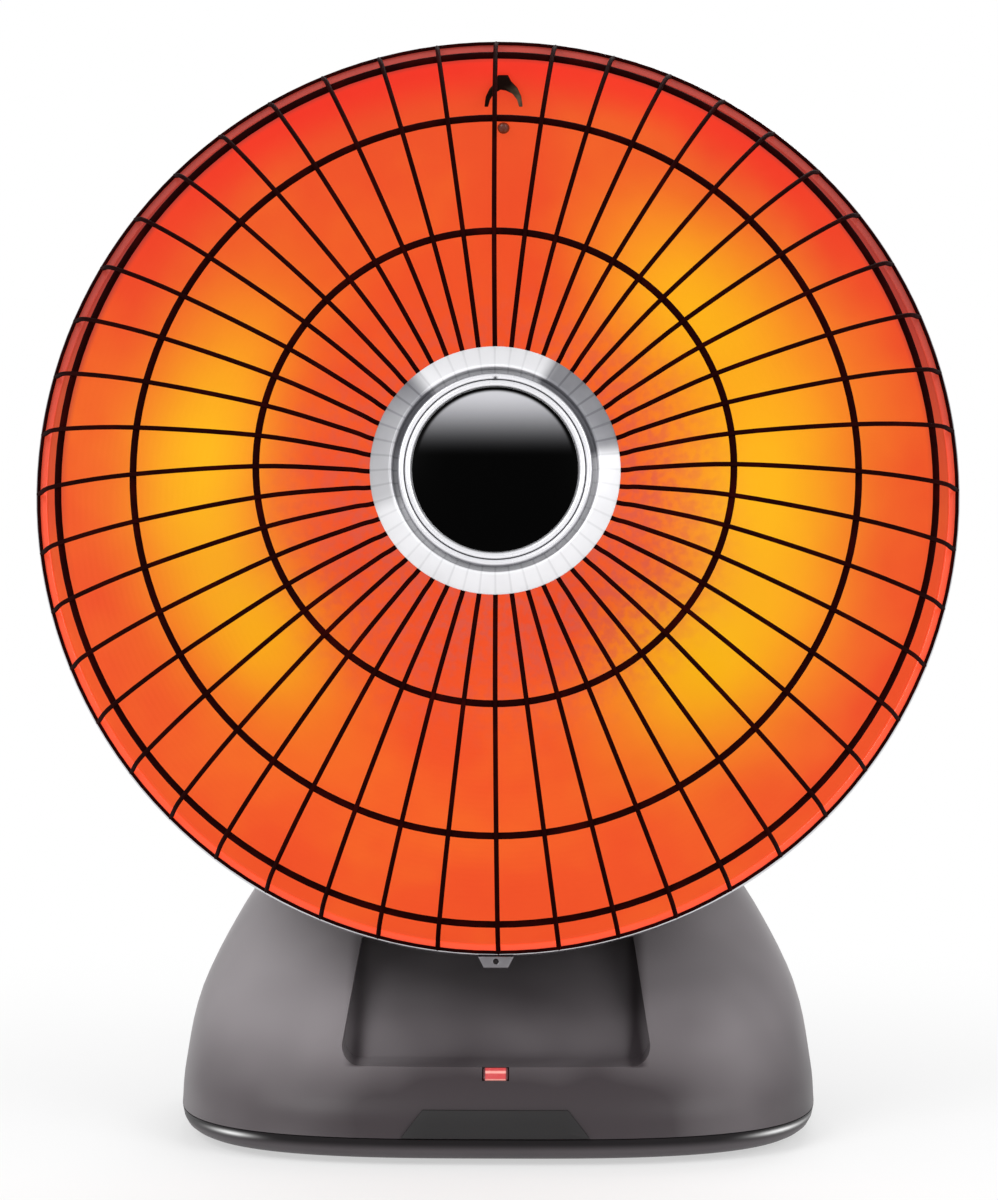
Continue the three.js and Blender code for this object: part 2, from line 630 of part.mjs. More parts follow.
// Built about the pivot; the dish axis is AXIS_RISE above it.
function podHousing() {
  const front = SEAT_BACK - SEAT_GAP;
  const back = front - POD_DEPTH;
  const place = (geometry) => geometry.translate(0, -RIM_FORWARD, AXIS_RISE);
  const can = [[0, front], [POD_RADIUS, front], [POD_RADIUS - 2, back], [0, back]];
  const outer = solid(place(turned(can, 32)));
  const inner = solid(place(turned([[0, front + 1], [POD_RADIUS - POD_WALL, front + 1],
    [POD_RADIUS - 2 - POD_WALL, back - 1], [0, back - 1]], 32)));
  const neckTop = AXIS_RISE - POD_RADIUS + 12;
  const podFront = RIM_FORWARD + front - 1;
  const step = AXIS_RISE - SHELL_SEAT_RADIUS - 4;
  const side = [[PIVOT_BOSS_RADIUS * 0.95, 6], [17, 16], [13, 32], [podFront, step], [podFront, neckTop],
    [podFront - NECK_THICKNESS * 0.7, neckTop], [-NECK_THICKNESS * 0.62, 10],
    [-PIVOT_BOSS_RADIUS * 0.95, -6], [-8, -PIVOT_BOSS_RADIUS + 1.5], [8, -PIVOT_BOSS_RADIUS + 1.5]];
  const taper = new THREE.Shape([[-NECK_HALF_WIDTH, -30], [NECK_HALF_WIDTH, -30], [NECK_HALF_WIDTH, 18],
    [40, neckTop + 1], [-40, neckTop + 1], [-NECK_HALF_WIDTH, 18]].map(([x, z]) => new THREE.Vector2(x, z)));
  const neck = solid(plateSide(side, NECK_HALF_WIDTH + 1)).intersect(solid(plateXZ(taper, -60, 60)));
  const boss = solid(rodX(PIVOT_BOSS_RADIUS, -NECK_HALF_WIDTH, NECK_HALF_WIDTH, 0, 0, 24));
  const bore = PIN_RADIUS + RUN_GAP;
  const depth = PIN_ENGAGEMENT + RUN_GAP;
  let whole = joined(outer, neck, boss).subtract(inner);
  for (const sign of [-1, 1]) {
    const from = Math.min(sign * (NECK_HALF_WIDTH - depth), sign * (NECK_HALF_WIDTH + 2));
    const hole = rodX(bore, from, from + depth + 2, 0, 0, 24);
    whole = whole.subtract(solid(hole));
  }
  return geometryOf(whole);
}

function podCover() {
  const edge = POD_RADIUS - 2;
  const wall = 2.5;
  const crown = (r) => COVER_FRONT - COVER_CROWN * Math.sqrt(1 - (r / edge) ** 2.4) - 2;
  const outside = radii(0, edge * 0.985, 5).map((r) => [r, crown(r)]);
  const inside = radii(0, edge - wall, 5).map((r) => [r, Math.min(crown(r) + wall, COVER_FRONT)]);
  let whole = solid(turned([...outside, [edge, COVER_FRONT - 2], [edge, COVER_FRONT],
    [edge - wall, COVER_FRONT], ...inside.reverse().slice(1)], 24));
  for (let i = 0; i < COVER_SLOT_COUNT; i += 1) {
    const z = (i - (COVER_SLOT_COUNT - 1) / 2) * COVER_SLOT_SPACING;
    const width = 2 * Math.sqrt((edge - 22) ** 2 - z ** 2);
    whole = whole.subtract(solid(box(width, 60, 4, 0, -COVER_FRONT, z)));
  }
  return geometryOf(whole);
}

const handleRoot = shellOuter(Math.hypot(HANDLE_SPAN / 2, HANDLE_HEIGHT));

function handle() {
  const reach = HANDLE_SPAN / 2;
  const root = -14;                // the legs run into the shell's space and are cut to it
  const foot = new THREE.Vector3(reach, root, 0);
  const bend = 16;
  const corner = (sign) => [
    new THREE.Vector3(sign * reach, HANDLE_RISE - bend, 0),
    new THREE.Vector3(sign * (reach - bend * 0.3), HANDLE_RISE - bend * 0.3, 0),
    new THREE.Vector3(sign * (reach - bend), HANDLE_RISE, 0),
  ];
  const stations = [foot.clone().setX(-reach), ...corner(-1), new THREE.Vector3(0, HANDLE_RISE + 2, 0),
    ...corner(1).reverse(), foot];
  const grip = tube(stations, HANDLE_RADIUS, 10).translate(0, -handleRoot, HANDLE_HEIGHT);
  const clearance = SEAT_GAP + 0.2;
  const rim = radii(APERTURE_RADIUS, SHELL_SEAT_RADIUS + 6, 5).map((r) => [r, shellOuter(r) - clearance]);
  const shellSpace = turned([[0, 20], [APERTURE_RADIUS, 20], ...rim, [0, SEAT_BACK]], DISH_SEGMENTS);
  return geometryOf(solid(grip).subtract(solid(shellSpace)));
}

// ---------------------------------------------------------------- the base

// The bell's half width, front and rear at a height.
const bellCurve = new THREE.CatmullRomCurve3(
  BELL.map(([, half, front]) => new THREE.Vector3(half, front, 0)), false, 'catmullrom', 0.5);
const bellRears = new THREE.CatmullRomCurve3(
  BELL.map(([height, , , rear]) => new THREE.Vector3(height, rear, 0)), false, 'catmullrom', 0.5);

// One plan section of the bell, grown outwards by grow.
function bellSection(t, grow) {
  const [sides, rears] = [bellCurve.getPoint(t), bellRears.getPoint(t)];
  const half = sides.x + grow;
  const depth = (sides.y + rears.y) / 2 + grow;
  const middle = (rears.y - sides.y) / 2;
  const power = 2 / BELL_POWER;
  return Array.from({ length: BELL_COUNT }, (_, i) => {
    const angle = (2 * Math.PI * (i + 0.5)) / BELL_COUNT;
    const [c, s] = [Math.cos(angle), Math.sin(angle)];
    const x = half * Math.sign(c) * Math.abs(c) ** power;
    const y = middle + depth * Math.sign(s) * Math.abs(s) ** power;
    return new THREE.Vector3(x, y, rears.x);
  });
}

// A closed skin over plan sections of equal count.
function loft(sections) {
  const count = sections[0].length;
  const positions = sections.flat().flatMap((p) => [p.x, p.y, p.z]);
  const index = [];
  for (let k = 0; k + 1 < sections.length; k += 1) {
    for (let i = 0; i < count; i += 1) {
      const [a, b] = [k * count + i, k * count + ((i + 1) % count)];
      index.push(a, b, a + count, b, b + count, a + count);
    }
  }
  const cap = (start, flip) => {
    for (let i = 1; i + 1 < count; i += 1) {
      index.push(start, start + (flip ? i + 1 : i), start + (flip ? i : i + 1));
    }
  };
  cap(0, true);
  cap((sections.length - 1) * count, false);
  const geometry = new THREE.BufferGeometry();
  geometry.setAttribute('position', new THREE.Float32BufferAttribute(positions, 3));
  geometry.setIndex(index);
  return closed(geometry);
}

function bell(grow, lowest, top, steps = BELL_STEPS) {
  const sections = Array.from({ length: steps + 1 }, (_, i) => bellSection(i / steps, grow));
  const floor = sections[0].map((p) => p.clone().setZ(lowest));
  const lift = top - BELL[BELL.length - 1][0];
  sections.forEach((ring, i) => ring.forEach((p) => { p.z += (lift * i) / steps; }));
  return solid(loft([floor, ...sections]));
}

// The recess in the front face and the slot between the shoulders.
function recess(grow) {
  const [half, slot] = [RECESS_HALF_WIDTH + grow, SLOT_HALF_WIDTH + grow];
  const [low, high] = [RECESS_BOTTOM - grow, SLOT_TOP];
  const corner = RECESS_CORNER + grow;
  const front = new THREE.Shape();
  front.moveTo(-slot, high);
  front.lineTo(-slot, SLOT_FLOOR);
  front.lineTo(-half, low + corner);
  front.quadraticCurveTo(-half, low, -half + corner, low);
  front.lineTo(half - corner, low);
  front.quadraticCurveTo(half, low, half, low + corner);
  front.lineTo(slot, SLOT_FLOOR);
  front.lineTo(slot, high);
  const ahead = 160;
  const side = [[ahead, low], [RECESS_FORWARD - grow, low], [-grow, SLOT_FLOOR - grow],
    [-SLOT_REAR - grow, SLOT_FLOOR - grow], [-SLOT_REAR - grow, high], [ahead, high]];
  return solid(plateXZ(front, -200, 200)).intersect(solid(plateSide(side, RECESS_HALF_WIDTH + 20)));
}

// Height-wise parameter of the bell's front face, for what sits on it.
function faceAt(height) {
  let [low, high] = [0, 1];
  for (let i = 0; i < 30; i += 1) {
    const middle = (low + high) / 2;
    if (bellRears.getPoint(middle).x < height) low = middle; else high = middle;
  }
  const step = 0.005;
  const spot = (t) => ({ z: bellRears.getPoint(t).x, f: bellCurve.getPoint(t).y });
  const [here, above] = [spot(low), spot(low + step)];
  return { forward: here.f, lean: Math.atan2(here.f - above.f, above.z - here.z) };
}

const LENS_FACE = faceAt(LENS_CENTRE);

// A box set square on the front face at the lens.
function onLensFace(geometry) {
  return geometry.rotateX(-LENS_FACE.lean).translate(0, -LENS_FACE.forward, LENS_CENTRE);
}

function baseHousing() {
  const top = BELL[BELL.length - 1][0];
  const rearBlock = (back) => solid(box(BEYOND, BEYOND, BEYOND, 0, back - BEYOND / 2, 0));
  const outer = bell(0, PARTING_HEIGHT, top).intersect(rearBlock(REAR_FLAT));
  const inner = bell(-BASE_WALL, PARTING_HEIGHT - 5, top - BASE_WALL, 5)
    .intersect(rearBlock(REAR_FLAT - BASE_WALL));
  let whole = outer.subtract(inner.subtract(recess(BASE_WALL)));
  for (const [x, forward] of TRAY_BOSSES) {
    const post = rodZ(TRAY_BOSS_RADIUS, PARTING_HEIGHT, BOSS_TOP, x, -forward, 8);
    whole = whole.add(solid(post).intersect(bell(-1, PARTING_HEIGHT, top - 1)));
  }
  whole = whole.subtract(recess(0));
  const earOutside = SLOT_HALF_WIDTH + 2 * BASE_WALL;
  const lensHole = roundedRectangle(LENS_WIDTH + 2 * RUN_GAP, LENS_HEIGHT + 2 * RUN_GAP, 2);
  const cuts = [
    rodX(PIN_RADIUS + RUN_GAP, -earOutside, earOutside, -PIVOT_FORWARD, PIVOT_HEIGHT, 24),
    rodY(SHAFT_RADIUS + RUN_GAP, REAR_FLAT - 8, REAR_FLAT + 2, KNOB_X, KNOB_HEIGHT, 16),
    box(ROCKER_WIDTH + 4.6, 20, ROCKER_LENGTH + 4.6, ROCKER_X, REAR_FLAT, KNOB_HEIGHT),
    rodY(GLAND_RADIUS - 2 + RUN_GAP, REAR_FLAT - 8, REAR_FLAT + 2, 0, GLAND_HEIGHT, 20),
    onLensFace(plateXZ(lensHole, -8, 8)),
  ];
  for (const [x, forward] of TRAY_BOSSES) {
    cuts.push(rodZ(TRAY_SCREW_RADIUS + RUN_GAP, PARTING_HEIGHT - 1, PARTING_HEIGHT + 14, x, -forward, 8));
  }
  for (const cut of cuts) whole = whole.subtract(solid(cut));
  return geometryOf(whole);
}

function baseTray() {
  const top = PARTING_HEIGHT - TRAY_GAP;
  const bottom = FOOT_HEIGHT + SEAT_GAP;
  const levels = [[bottom, -9], [bottom + 2.2, -4], [bottom + 5, -1.2], [top, 0]];
  const ring = (grow, z) => bellSection(0, grow).map((p) => p.clone().setZ(z));
  const outer = solid(loft(levels.map(([z, grow]) => ring(grow, z))));
  const inner = solid(loft([ring(-BASE_WALL - 10, bottom + BASE_WALL), ring(-BASE_WALL - 4, bottom + 7),
    ring(-BASE_WALL, top + 1)]));
  let whole = outer.intersect(solid(box(BEYOND, BEYOND, BEYOND, 0, REAR_FLAT - BEYOND / 2, 0))).subtract(inner);
  const floor = bottom + BASE_WALL - 1;
  for (const [x, forward] of TRAY_BOSSES) {
    whole = whole.add(solid(rodZ(TRAY_BOSS_RADIUS, floor, top, x, -forward, 8)));
  }
  for (const [sx, sy] of [[-1, -1], [-1, 1], [1, -1], [1, 1]]) {
    const x = BOARD_CENTRE.x + sx * (BOARD_SIZE.width / 2 - BOARD_POST_INSET);
    const forward = BOARD_CENTRE.forward + sy * (BOARD_SIZE.depth / 2 - BOARD_POST_INSET);
    whole = whole.add(solid(rodZ(BOARD_POST_RADIUS, floor, BOARD_HEIGHT - SEAT_GAP, x, -forward, 6)));
  }
  const cuts = [rodZ(PLUNGER_RADIUS + RUN_GAP, -1, 20, PLUNGER_X, -PLUNGER_FORWARD, 16)];
  for (const [x, forward] of TRAY_BOSSES) {
    cuts.push(rodZ(TRAY_SCREW_RADIUS + RUN_GAP, -1, 20, x, -forward, 8));
  }
  for (const cut of cuts) whole = whole.subtract(solid(cut));
  return geometryOf(whole);
}

function frontPlate() {
  const top = BELL[BELL.length - 1][0];
  const low = PARTING_HEIGHT + 0.5;
  const corners = [[-PLATE_BOTTOM_HALF_WIDTH, low], [PLATE_BOTTOM_HALF_WIDTH, low],
    [PLATE_TOP_HALF_WIDTH, PLATE_TOP], [-PLATE_TOP_HALF_WIDTH, PLATE_TOP]];
  const outline = new THREE.Shape(corners.map(([x, z]) => new THREE.Vector2(x, z)));
  const sheet = bell(SEAT_GAP + PLATE_THICKNESS, PARTING_HEIGHT, top)
    .subtract(bell(SEAT_GAP, PARTING_HEIGHT - 1, top));
  return geometryOf(sheet.intersect(solid(plateXZ(outline, -200, -60))));
}

function knob() {
  const outline = new THREE.Shape();
  const steps = KNOB_FLUTES * 2;
  const points = Array.from({ length: steps }, (_, i) => {
    const angle = (2 * Math.PI * i) / steps;
    const radius = KNOB_RADIUS - (i % 2 === 0 ? 1.2 : 0);
    return new THREE.Vector2(radius * Math.cos(angle), radius * Math.sin(angle));
  });
  outline.setFromPoints(points);
  const skirt = solid(turned([[0, 0], [KNOB_RADIUS + 3, 0], [KNOB_RADIUS + 3, -2],
    [KNOB_RADIUS, -3.4], [0, -3.4]], 24));
  const grip = solid(plateXZ(outline, 3, KNOB_DEPTH));
  const ridge = box(3, KNOB_DEPTH - 2, KNOB_RADIUS - 3, 0, KNOB_DEPTH / 2 + 1.6, KNOB_RADIUS / 2 - 1);
  const pointer = solid(ridge);
  const bore = solid(rodY(SHAFT_RADIUS + RUN_GAP, -1, SHAFT_ENGAGEMENT, 0, 0, 16));
  return geometryOf(joined(skirt, grip, pointer).subtract(bore));
}

function rockerFrame() {
  const [wide, tall] = [ROCKER_WIDTH + 4, ROCKER_LENGTH + 4];
  const edge = roundedRectangle(wide + 4, tall + 4, 2);
  const flange = solid(plateXZ(edge, REAR_FLAT + SEAT_GAP, REAR_FLAT + 2.3));
  const body = solid(box(wide, 24, tall, 0, REAR_FLAT - 12 + 0.4, 0));
  const well = solid(box(ROCKER_WIDTH + 0.8, 30, ROCKER_LENGTH + 0.8, 0, REAR_FLAT + 15 - 14, 0));
  return geometryOf(joined(flange, body).subtract(well));
}

// Rounded rocker with a shallow V across its face, about its own pivot.
function rockerButton() {
  const half = ROCKER_LENGTH / 2 - 1.8;
  const rise = 8.5;
  const rocker = new THREE.Shape();
  const lift = Math.tan(rad(ROCKER_ANGLE)) * half * 0.9;
  rocker.moveTo(-rise - lift, -half);
  rocker.lineTo(-rise, 0);
  rocker.lineTo(-rise - lift, half);
  rocker.lineTo(-1, half);
  rocker.lineTo(4, 4);
  rocker.lineTo(4, -4);
  rocker.lineTo(-1, -half);
  const points = rocker.getPoints().map((p) => [p.x, p.y]);
  return plateSide(points, ROCKER_WIDTH / 2);
}

function cordGland() {
  const bore = GLAND_BORE;
  const body = GLAND_RADIUS - 2;
  return turned([[bore, -REAR_FLAT + 6], [body, -REAR_FLAT + 6], [body, -REAR_FLAT - SEAT_GAP],
    [GLAND_RADIUS + 2, -REAR_FLAT - SEAT_GAP], [GLAND_RADIUS + 2, -REAR_FLAT - 2.6],
    [GLAND_RADIUS - 1, -REAR_FLAT - 4], [bore + 2, -REAR_FLAT - 9], [bore, -REAR_FLAT - 9]], 14);
}

function tipPlunger() {
  const tip = SEAT_GAP;
  const [collar, stem] = [PLUNGER_RADIUS + 2.5, 1.5];
  return turnedUpright([[0, tip], [PLUNGER_RADIUS - 1.2, tip], [PLUNGER_RADIUS, tip + 1.2],
    [PLUNGER_RADIUS, 11], [collar, 11], [collar, 12.5], [stem, 12.5], [stem, 22], [0, 22]], 12);
}

function plungerSpring() {
  const turns = 4;
  const perTurn = 10;
  const wire = 0.5;
  const radius = 3.4;
  const [low, high] = [13.3, 22.2];
  const steps = turns * perTurn;
  const stations = Array.from({ length: steps + 1 }, (_, i) => {
    const angle = (2 * Math.PI * i) / perTurn;
    const height = low + ((high - low) * i) / steps;
    return new THREE.Vector3(radius * Math.cos(angle), radius * Math.sin(angle), height);
  });
  return tube(stations, wire, 3);
}

function tipSwitchBody() {
  const low = FOOT_HEIGHT + SEAT_GAP + BASE_WALL + SEAT_GAP;
  const [size, inside] = [TIP_SWITCH_SIZE, TIP_SWITCH_SIZE - 2 * TIP_SWITCH_WALL];
  const depth = size - TIP_SWITCH_WALL + 1;
  const shell = solid(box(size, size, size, 0, 0, low + size / 2));
  const well = solid(box(inside, inside, depth, 0, 0, low + depth / 2 - 1));
  return geometryOf(shell.subtract(well));
}

// ---------------------------------------------------------------- assembly

const heater = new THREE.Group();

function buildBase() {
  const base = new THREE.Group();
  piece('base_housing', baseHousing(), FINISH.housing(), base);
  piece('base_tray', baseTray(), FINISH.tray(), base);
  piece('front_plate', frontPlate(), FINISH.black(), base);
  TRAY_BOSSES.forEach(([x, forward], i) => {
    const footX = x - Math.sign(x) * FOOT_INSET;
    const foot = turnedUpright([[0, 0], [FOOT_RADIUS - 0.8, 0], [FOOT_RADIUS, 0.8],
      [FOOT_RADIUS, FOOT_HEIGHT], [0, FOOT_HEIGHT]], 12);
    piece(`foot_${i + 1}`, foot, FINISH.rubber(), base).position.set(footX, -forward, 0);
    const screw = panScrew(3.2, 1.4, TRAY_SCREW_RADIUS, PARTING_HEIGHT + TRAY_SCREW_BITE).rotateX(Math.PI / 2);
    piece(`tray_screw_${i + 1}`, screw, FINISH.steel(), base).position.set(x, -forward, FOOT_HEIGHT);
  });
  const lens = plateXZ(roundedRectangle(LENS_WIDTH, LENS_HEIGHT, 1.8), -0.6, 6);
  piece('indicator_lens', onLensFace(lens), FINISH.lens(), base);
  const holder = plateXZ(roundedRectangle(LENS_WIDTH + 4, LENS_HEIGHT + 3, 1.8), 6 + SEAT_GAP, 13.5);
  piece('lamp_holder', onLensFace(holder), FINISH.black(), base);
  const thermostat = box(THERMOSTAT_SIZE, THERMOSTAT_DEPTH, THERMOSTAT_SIZE, 0, -THERMOSTAT_DEPTH / 2, 0);
  const inside = REAR_FLAT - BASE_WALL - SEAT_GAP;
  piece('thermostat_body', thermostat, FINISH.steel(), base).position.set(KNOB_X, inside, KNOB_HEIGHT);
  piece('rocker_frame', rockerFrame(), FINISH.black(), base).position.set(ROCKER_X, 0, KNOB_HEIGHT);
  piece('cord_gland', cordGland(), FINISH.black(), base).position.set(0, 0, GLAND_HEIGHT);
  piece('tip_switch_body', tipSwitchBody(), FINISH.black(), base)
    .position.set(PLUNGER_X, -PLUNGER_FORWARD, 0);
  const board = box(BOARD_SIZE.width, BOARD_SIZE.depth, BOARD_THICKNESS, 0, 0, BOARD_THICKNESS / 2);
  piece('control_board', board, FINISH.board(), base)
    .position.set(BOARD_CENTRE.x, -BOARD_CENTRE.forward, BOARD_HEIGHT);
  const buzzer = turnedUpright([[0, 0], [11, 0], [11, 7], [9.5, 8], [0, 8]], 14);
  piece('alarm_buzzer', buzzer, FINISH.black(), base)
    .position.set(BOARD_CENTRE.x, -BOARD_CENTRE.forward, BOARD_HEIGHT + BOARD_THICKNESS + SEAT_GAP);
  for (const [side, sign] of [['left', -1], ['right', 1]]) {
    const reach = NECK_HALF_WIDTH - PIN_ENGAGEMENT;
    const end = SLOT_HALF_WIDTH + BASE_WALL + 7;
    const ends = [sign * reach, sign * end].sort((a, b) => a - b);
    piece(`pivot_pin_${side}`, rodX(PIN_RADIUS, ends[0], ends[1], 0, 0, 16), FINISH.steel(), base)
      .position.set(0, -PIVOT_FORWARD, PIVOT_HEIGHT);
    const ringNut = nut(9.5, PIN_RADIUS + RUN_GAP, 5).rotateZ(Math.PI / 2 * -sign);
    const nutFace = SLOT_HALF_WIDTH + BASE_WALL + SEAT_GAP;
    const nutAt = sign > 0 ? nutFace + 5 : -nutFace - 5;
    piece(`pivot_nut_${side}`, ringNut, FINISH.steel(), base)
      .position.set(nutAt, -PIVOT_FORWARD, PIVOT_HEIGHT);
    const [thin, thick] = [NECK_HALF_WIDTH + SEAT_GAP, SLOT_HALF_WIDTH - SEAT_GAP];
    const washer = turned([[PIN_RADIUS + RUN_GAP, 0], [WASHER_RADIUS, 0], [WASHER_RADIUS, thick - thin],
      [PIN_RADIUS + RUN_GAP, thick - thin]], 16).rotateZ(Math.PI / 2);
    piece(`friction_washer_${side}`, washer, FINISH.nylon(), base)
      .position.set(sign > 0 ? thin : -thick, -PIVOT_FORWARD, PIVOT_HEIGHT);
  }
  heater.add(base);
}

function buildControls() {
  const turning = new THREE.Group();
  turning.position.set(KNOB_X, REAR_FLAT + 0.5, KNOB_HEIGHT);
  const shaftFrom = -BASE_WALL - 0.5;
  const shaft = rodY(SHAFT_RADIUS, shaftFrom, SHAFT_ENGAGEMENT - 0.5, 0, 0, 16);
  piece('thermostat_shaft', shaft, FINISH.steel(), turning);
  piece('thermostat_knob', knob(), FINISH.black(), turning);
  heater.add(turning);
  const rocking = new THREE.Group();
  rocking.position.set(ROCKER_X, REAR_FLAT - 6, KNOB_HEIGHT);
  rocking.rotation.x = rad(ROCKER_ANGLE);
  piece('rocker_button', rockerButton(), FINISH.gloss(), rocking);
  heater.add(rocking);
  const pressing = new THREE.Group();
  pressing.position.set(PLUNGER_X, -PLUNGER_FORWARD, 0);
  piece('tip_plunger', tipPlunger(), FINISH.nylon(), pressing);
  piece('plunger_spring', plungerSpring(), FINISH.steel(), pressing);
  heater.add(pressing);
}

function buildDish() {
  const tilting = new THREE.Group();
  tilting.position.set(0, -PIVOT_FORWARD, PIVOT_HEIGHT);
  tilting.rotation.x = -rad(REST_TILT);
  piece('pod_housing', podHousing(), FINISH.shell(), tilting);

  const dish = new THREE.Group();
  dish.position.set(0, -RIM_FORWARD, AXIS_RISE);
  tilting.add(dish);
  piece('grille', grille(), FINISH.guard(), dish);
  piece('rim_band', rimBand(), FINISH.chrome(), dish);
  piece('reflector', reflector(), FINISH.reflector(), dish);
  piece('rear_shell', rearShell(), FINISH.shell(), dish);
  piece('hub_flange', hubFlange(), FINISH.polished(), dish);
  piece('hub_bezel', hubBezel(), FINISH.chrome(), dish);
  piece('hub_disc', hubDisc(), FINISH.gloss(), dish);
  piece('hub_back_plate', hubBackPlate(), FINISH.steel(), dish);
  const screwLength = FLANGE_FACE - HUB_PLATE_BACK + 1.9;
  const hubScrew = panScrew(4, 2.4, HUB_SCREW_RADIUS, screwLength).rotateX(Math.PI);
  piece('hub_screw', hubScrew, FINISH.steel(), dish).position.y = -HUB_PLATE_BACK + SEAT_GAP;
  const hubNut = nut(4.2, HUB_SCREW_RADIUS + RUN_GAP, 1.4);
  piece('hub_nut', hubNut, FINISH.steel(), dish).position.y = -FLANGE_FACE - SEAT_GAP;

  piece('element_former', elementFormer(), FINISH.ceramic(), dish);
  piece('heater_coil', heaterCoil(), FINISH.coil(), dish);
  piece('element_post', elementPost(), FINISH.steel(), dish);
  piece('element_plate', elementPlate(), FINISH.polished(), dish);
  const elementNut = nut(ELEMENT_NUT_RADIUS, POST_RADIUS + RUN_GAP, ELEMENT_NUT_THICKNESS);
  piece('element_nut', elementNut, FINISH.steel(), dish)
    .position.y = -SEAT_BACK + SEAT_GAP + ELEMENT_NUT_THICKNESS;

  const slope = (radius) => Math.atan((2 * REFLECTOR_DEPTH * radius) / APERTURE_RADIUS ** 2);
  const bracket = piece('sensor_bracket', sensorBracket(), FINISH.black(), dish);
  bracket.position.set(BRACKET_X, -bowl(BRACKET_RADIUS) - 2.6, BRACKET_RADIUS);
  bracket.rotation.x = slope(BRACKET_RADIUS);
  const bowlScrew = piece('sensor_screw', panScrew(2.8, 2, 1.4, 0.1), FINISH.steel(), dish);
  bowlScrew.position.set(BRACKET_X, -bowl(BOWL_SCREW_RADIUS) - 1.5, BOWL_SCREW_RADIUS);
  bowlScrew.rotation.x = slope(BOWL_SCREW_RADIUS);

  const clipCorners = [[-8, 0], [-5.4, -5], [5.4, -5], [8, 0]];
  const clip = new THREE.Shape(clipCorners.map(([x, z]) => new THREE.Vector2(x, z)));
  const slot = new THREE.Path();
  slot.absarc(0, -2.2, 1.2, 0, 2 * Math.PI, true);
  clip.holes.push(slot);
  piece('rim_clip', plateXZ(clip, 0, RIM_DEPTH, 6), FINISH.polished(), dish)
    .position.z = -RIM_RADIUS - SEAT_GAP;

  piece('pod_cover', podCover(), FINISH.black(), dish);
  const block = box(30, 14, 18, 0, 0, 0);
  piece('terminal_block', block, FINISH.ceramic(), dish).position.set(0, -SEAT_BACK + SEAT_GAP + 7, -38);
  const cutout = turned([[0, 0], [9, 0], [9, -6], [5, -8], [0, -8]], 14);
  piece('thermal_cutout', cutout, FINISH.steel(), dish).position.set(0, -SEAT_BACK + SEAT_GAP, 34);

  piece('handle', handle(), FINISH.black(), dish);
  heater.add(tilting);
}

buildBase();
buildControls();
buildDish();

// The origin is the middle of the footprint, on the floor.
heater.updateMatrixWorld(true);
const extent = new THREE.Box3().setFromObject(heater, true);
heater.position.set(-(extent.min.x + extent.max.x) / 2, -(extent.min.y + extent.max.y) / 2, -extent.min.z);
console.log(`tilt pivot at y ${(heater.position.y - PIVOT_FORWARD).toFixed(6)}, z ${PIVOT_HEIGHT}`);

export default heater;
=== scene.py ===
"""A tilting dish heater with a welded wire guard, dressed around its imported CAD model.

Sizes are millimetres in the maker's own frames: the dish frame has its origin in the middle of the
rim plane, the tilt frame has it on the tilt pivot, and the base frame has it on the floor. Forward
is -Y in all of them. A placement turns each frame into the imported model's metres.
"""

import json
import logging
import math
from dataclasses import dataclass
from enum import Enum
from typing import Iterable, Sequence

import bmesh
import bpy
from mathutils import Matrix, Vector

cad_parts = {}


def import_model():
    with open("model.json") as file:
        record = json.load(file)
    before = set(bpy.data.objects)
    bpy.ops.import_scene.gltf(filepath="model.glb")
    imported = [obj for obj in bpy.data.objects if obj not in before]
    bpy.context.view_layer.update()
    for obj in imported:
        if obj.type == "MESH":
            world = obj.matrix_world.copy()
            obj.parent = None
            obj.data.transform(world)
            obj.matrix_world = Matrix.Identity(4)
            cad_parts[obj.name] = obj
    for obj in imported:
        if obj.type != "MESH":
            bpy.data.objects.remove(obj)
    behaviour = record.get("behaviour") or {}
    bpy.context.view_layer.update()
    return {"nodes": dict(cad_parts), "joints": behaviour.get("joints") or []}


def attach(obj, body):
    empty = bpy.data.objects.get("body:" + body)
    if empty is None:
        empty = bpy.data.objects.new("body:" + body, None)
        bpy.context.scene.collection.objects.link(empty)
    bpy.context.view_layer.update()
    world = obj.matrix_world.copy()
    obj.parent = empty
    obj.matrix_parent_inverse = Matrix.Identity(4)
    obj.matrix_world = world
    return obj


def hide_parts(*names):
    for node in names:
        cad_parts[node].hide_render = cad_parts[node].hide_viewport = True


log = logging.getLogger("dish_heater")

Pair = tuple[float, float]
Station = tuple[float, float]
Triple = tuple[float, float, float]
Colour = tuple[float, float, float, float]

MM = 0.001
SEAT_GAP = 0.3
REST_TILT = math.radians(12)
RIM_FORWARD = 96.7
AXIS_RISE = 135.8
PIVOT_REARWARD = 20.0
PIVOT_HEIGHT = 140.0
UNLIT: Colour = (0.0, 0.0, 0.0, 1.0)


class Body(str, Enum):
    """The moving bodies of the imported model."""

    BASE = "base"
    DISH = "dish"
    KNOB = "knob"
    ROCKER = "rocker"
    PLUNGER = "plunger"


def srgb(red: float, green: float, blue: float) -> Colour:
    """A linear colour from screen values of 0 to 255.

    Args:
        red: the red channel.
        green: the green channel.
        blue: the blue channel.

    Returns:
        The colour.
    """

    def linear(value: float) -> float:
        """One channel in linear light."""
        share = value / 255
        return share / 12.92 if share <= 0.04045 else ((share + 0.055) / 1.055) ** 2.4

    return (linear(red), linear(green), linear(blue), 1.0)


# ---------------------------------------------------------------- shader building


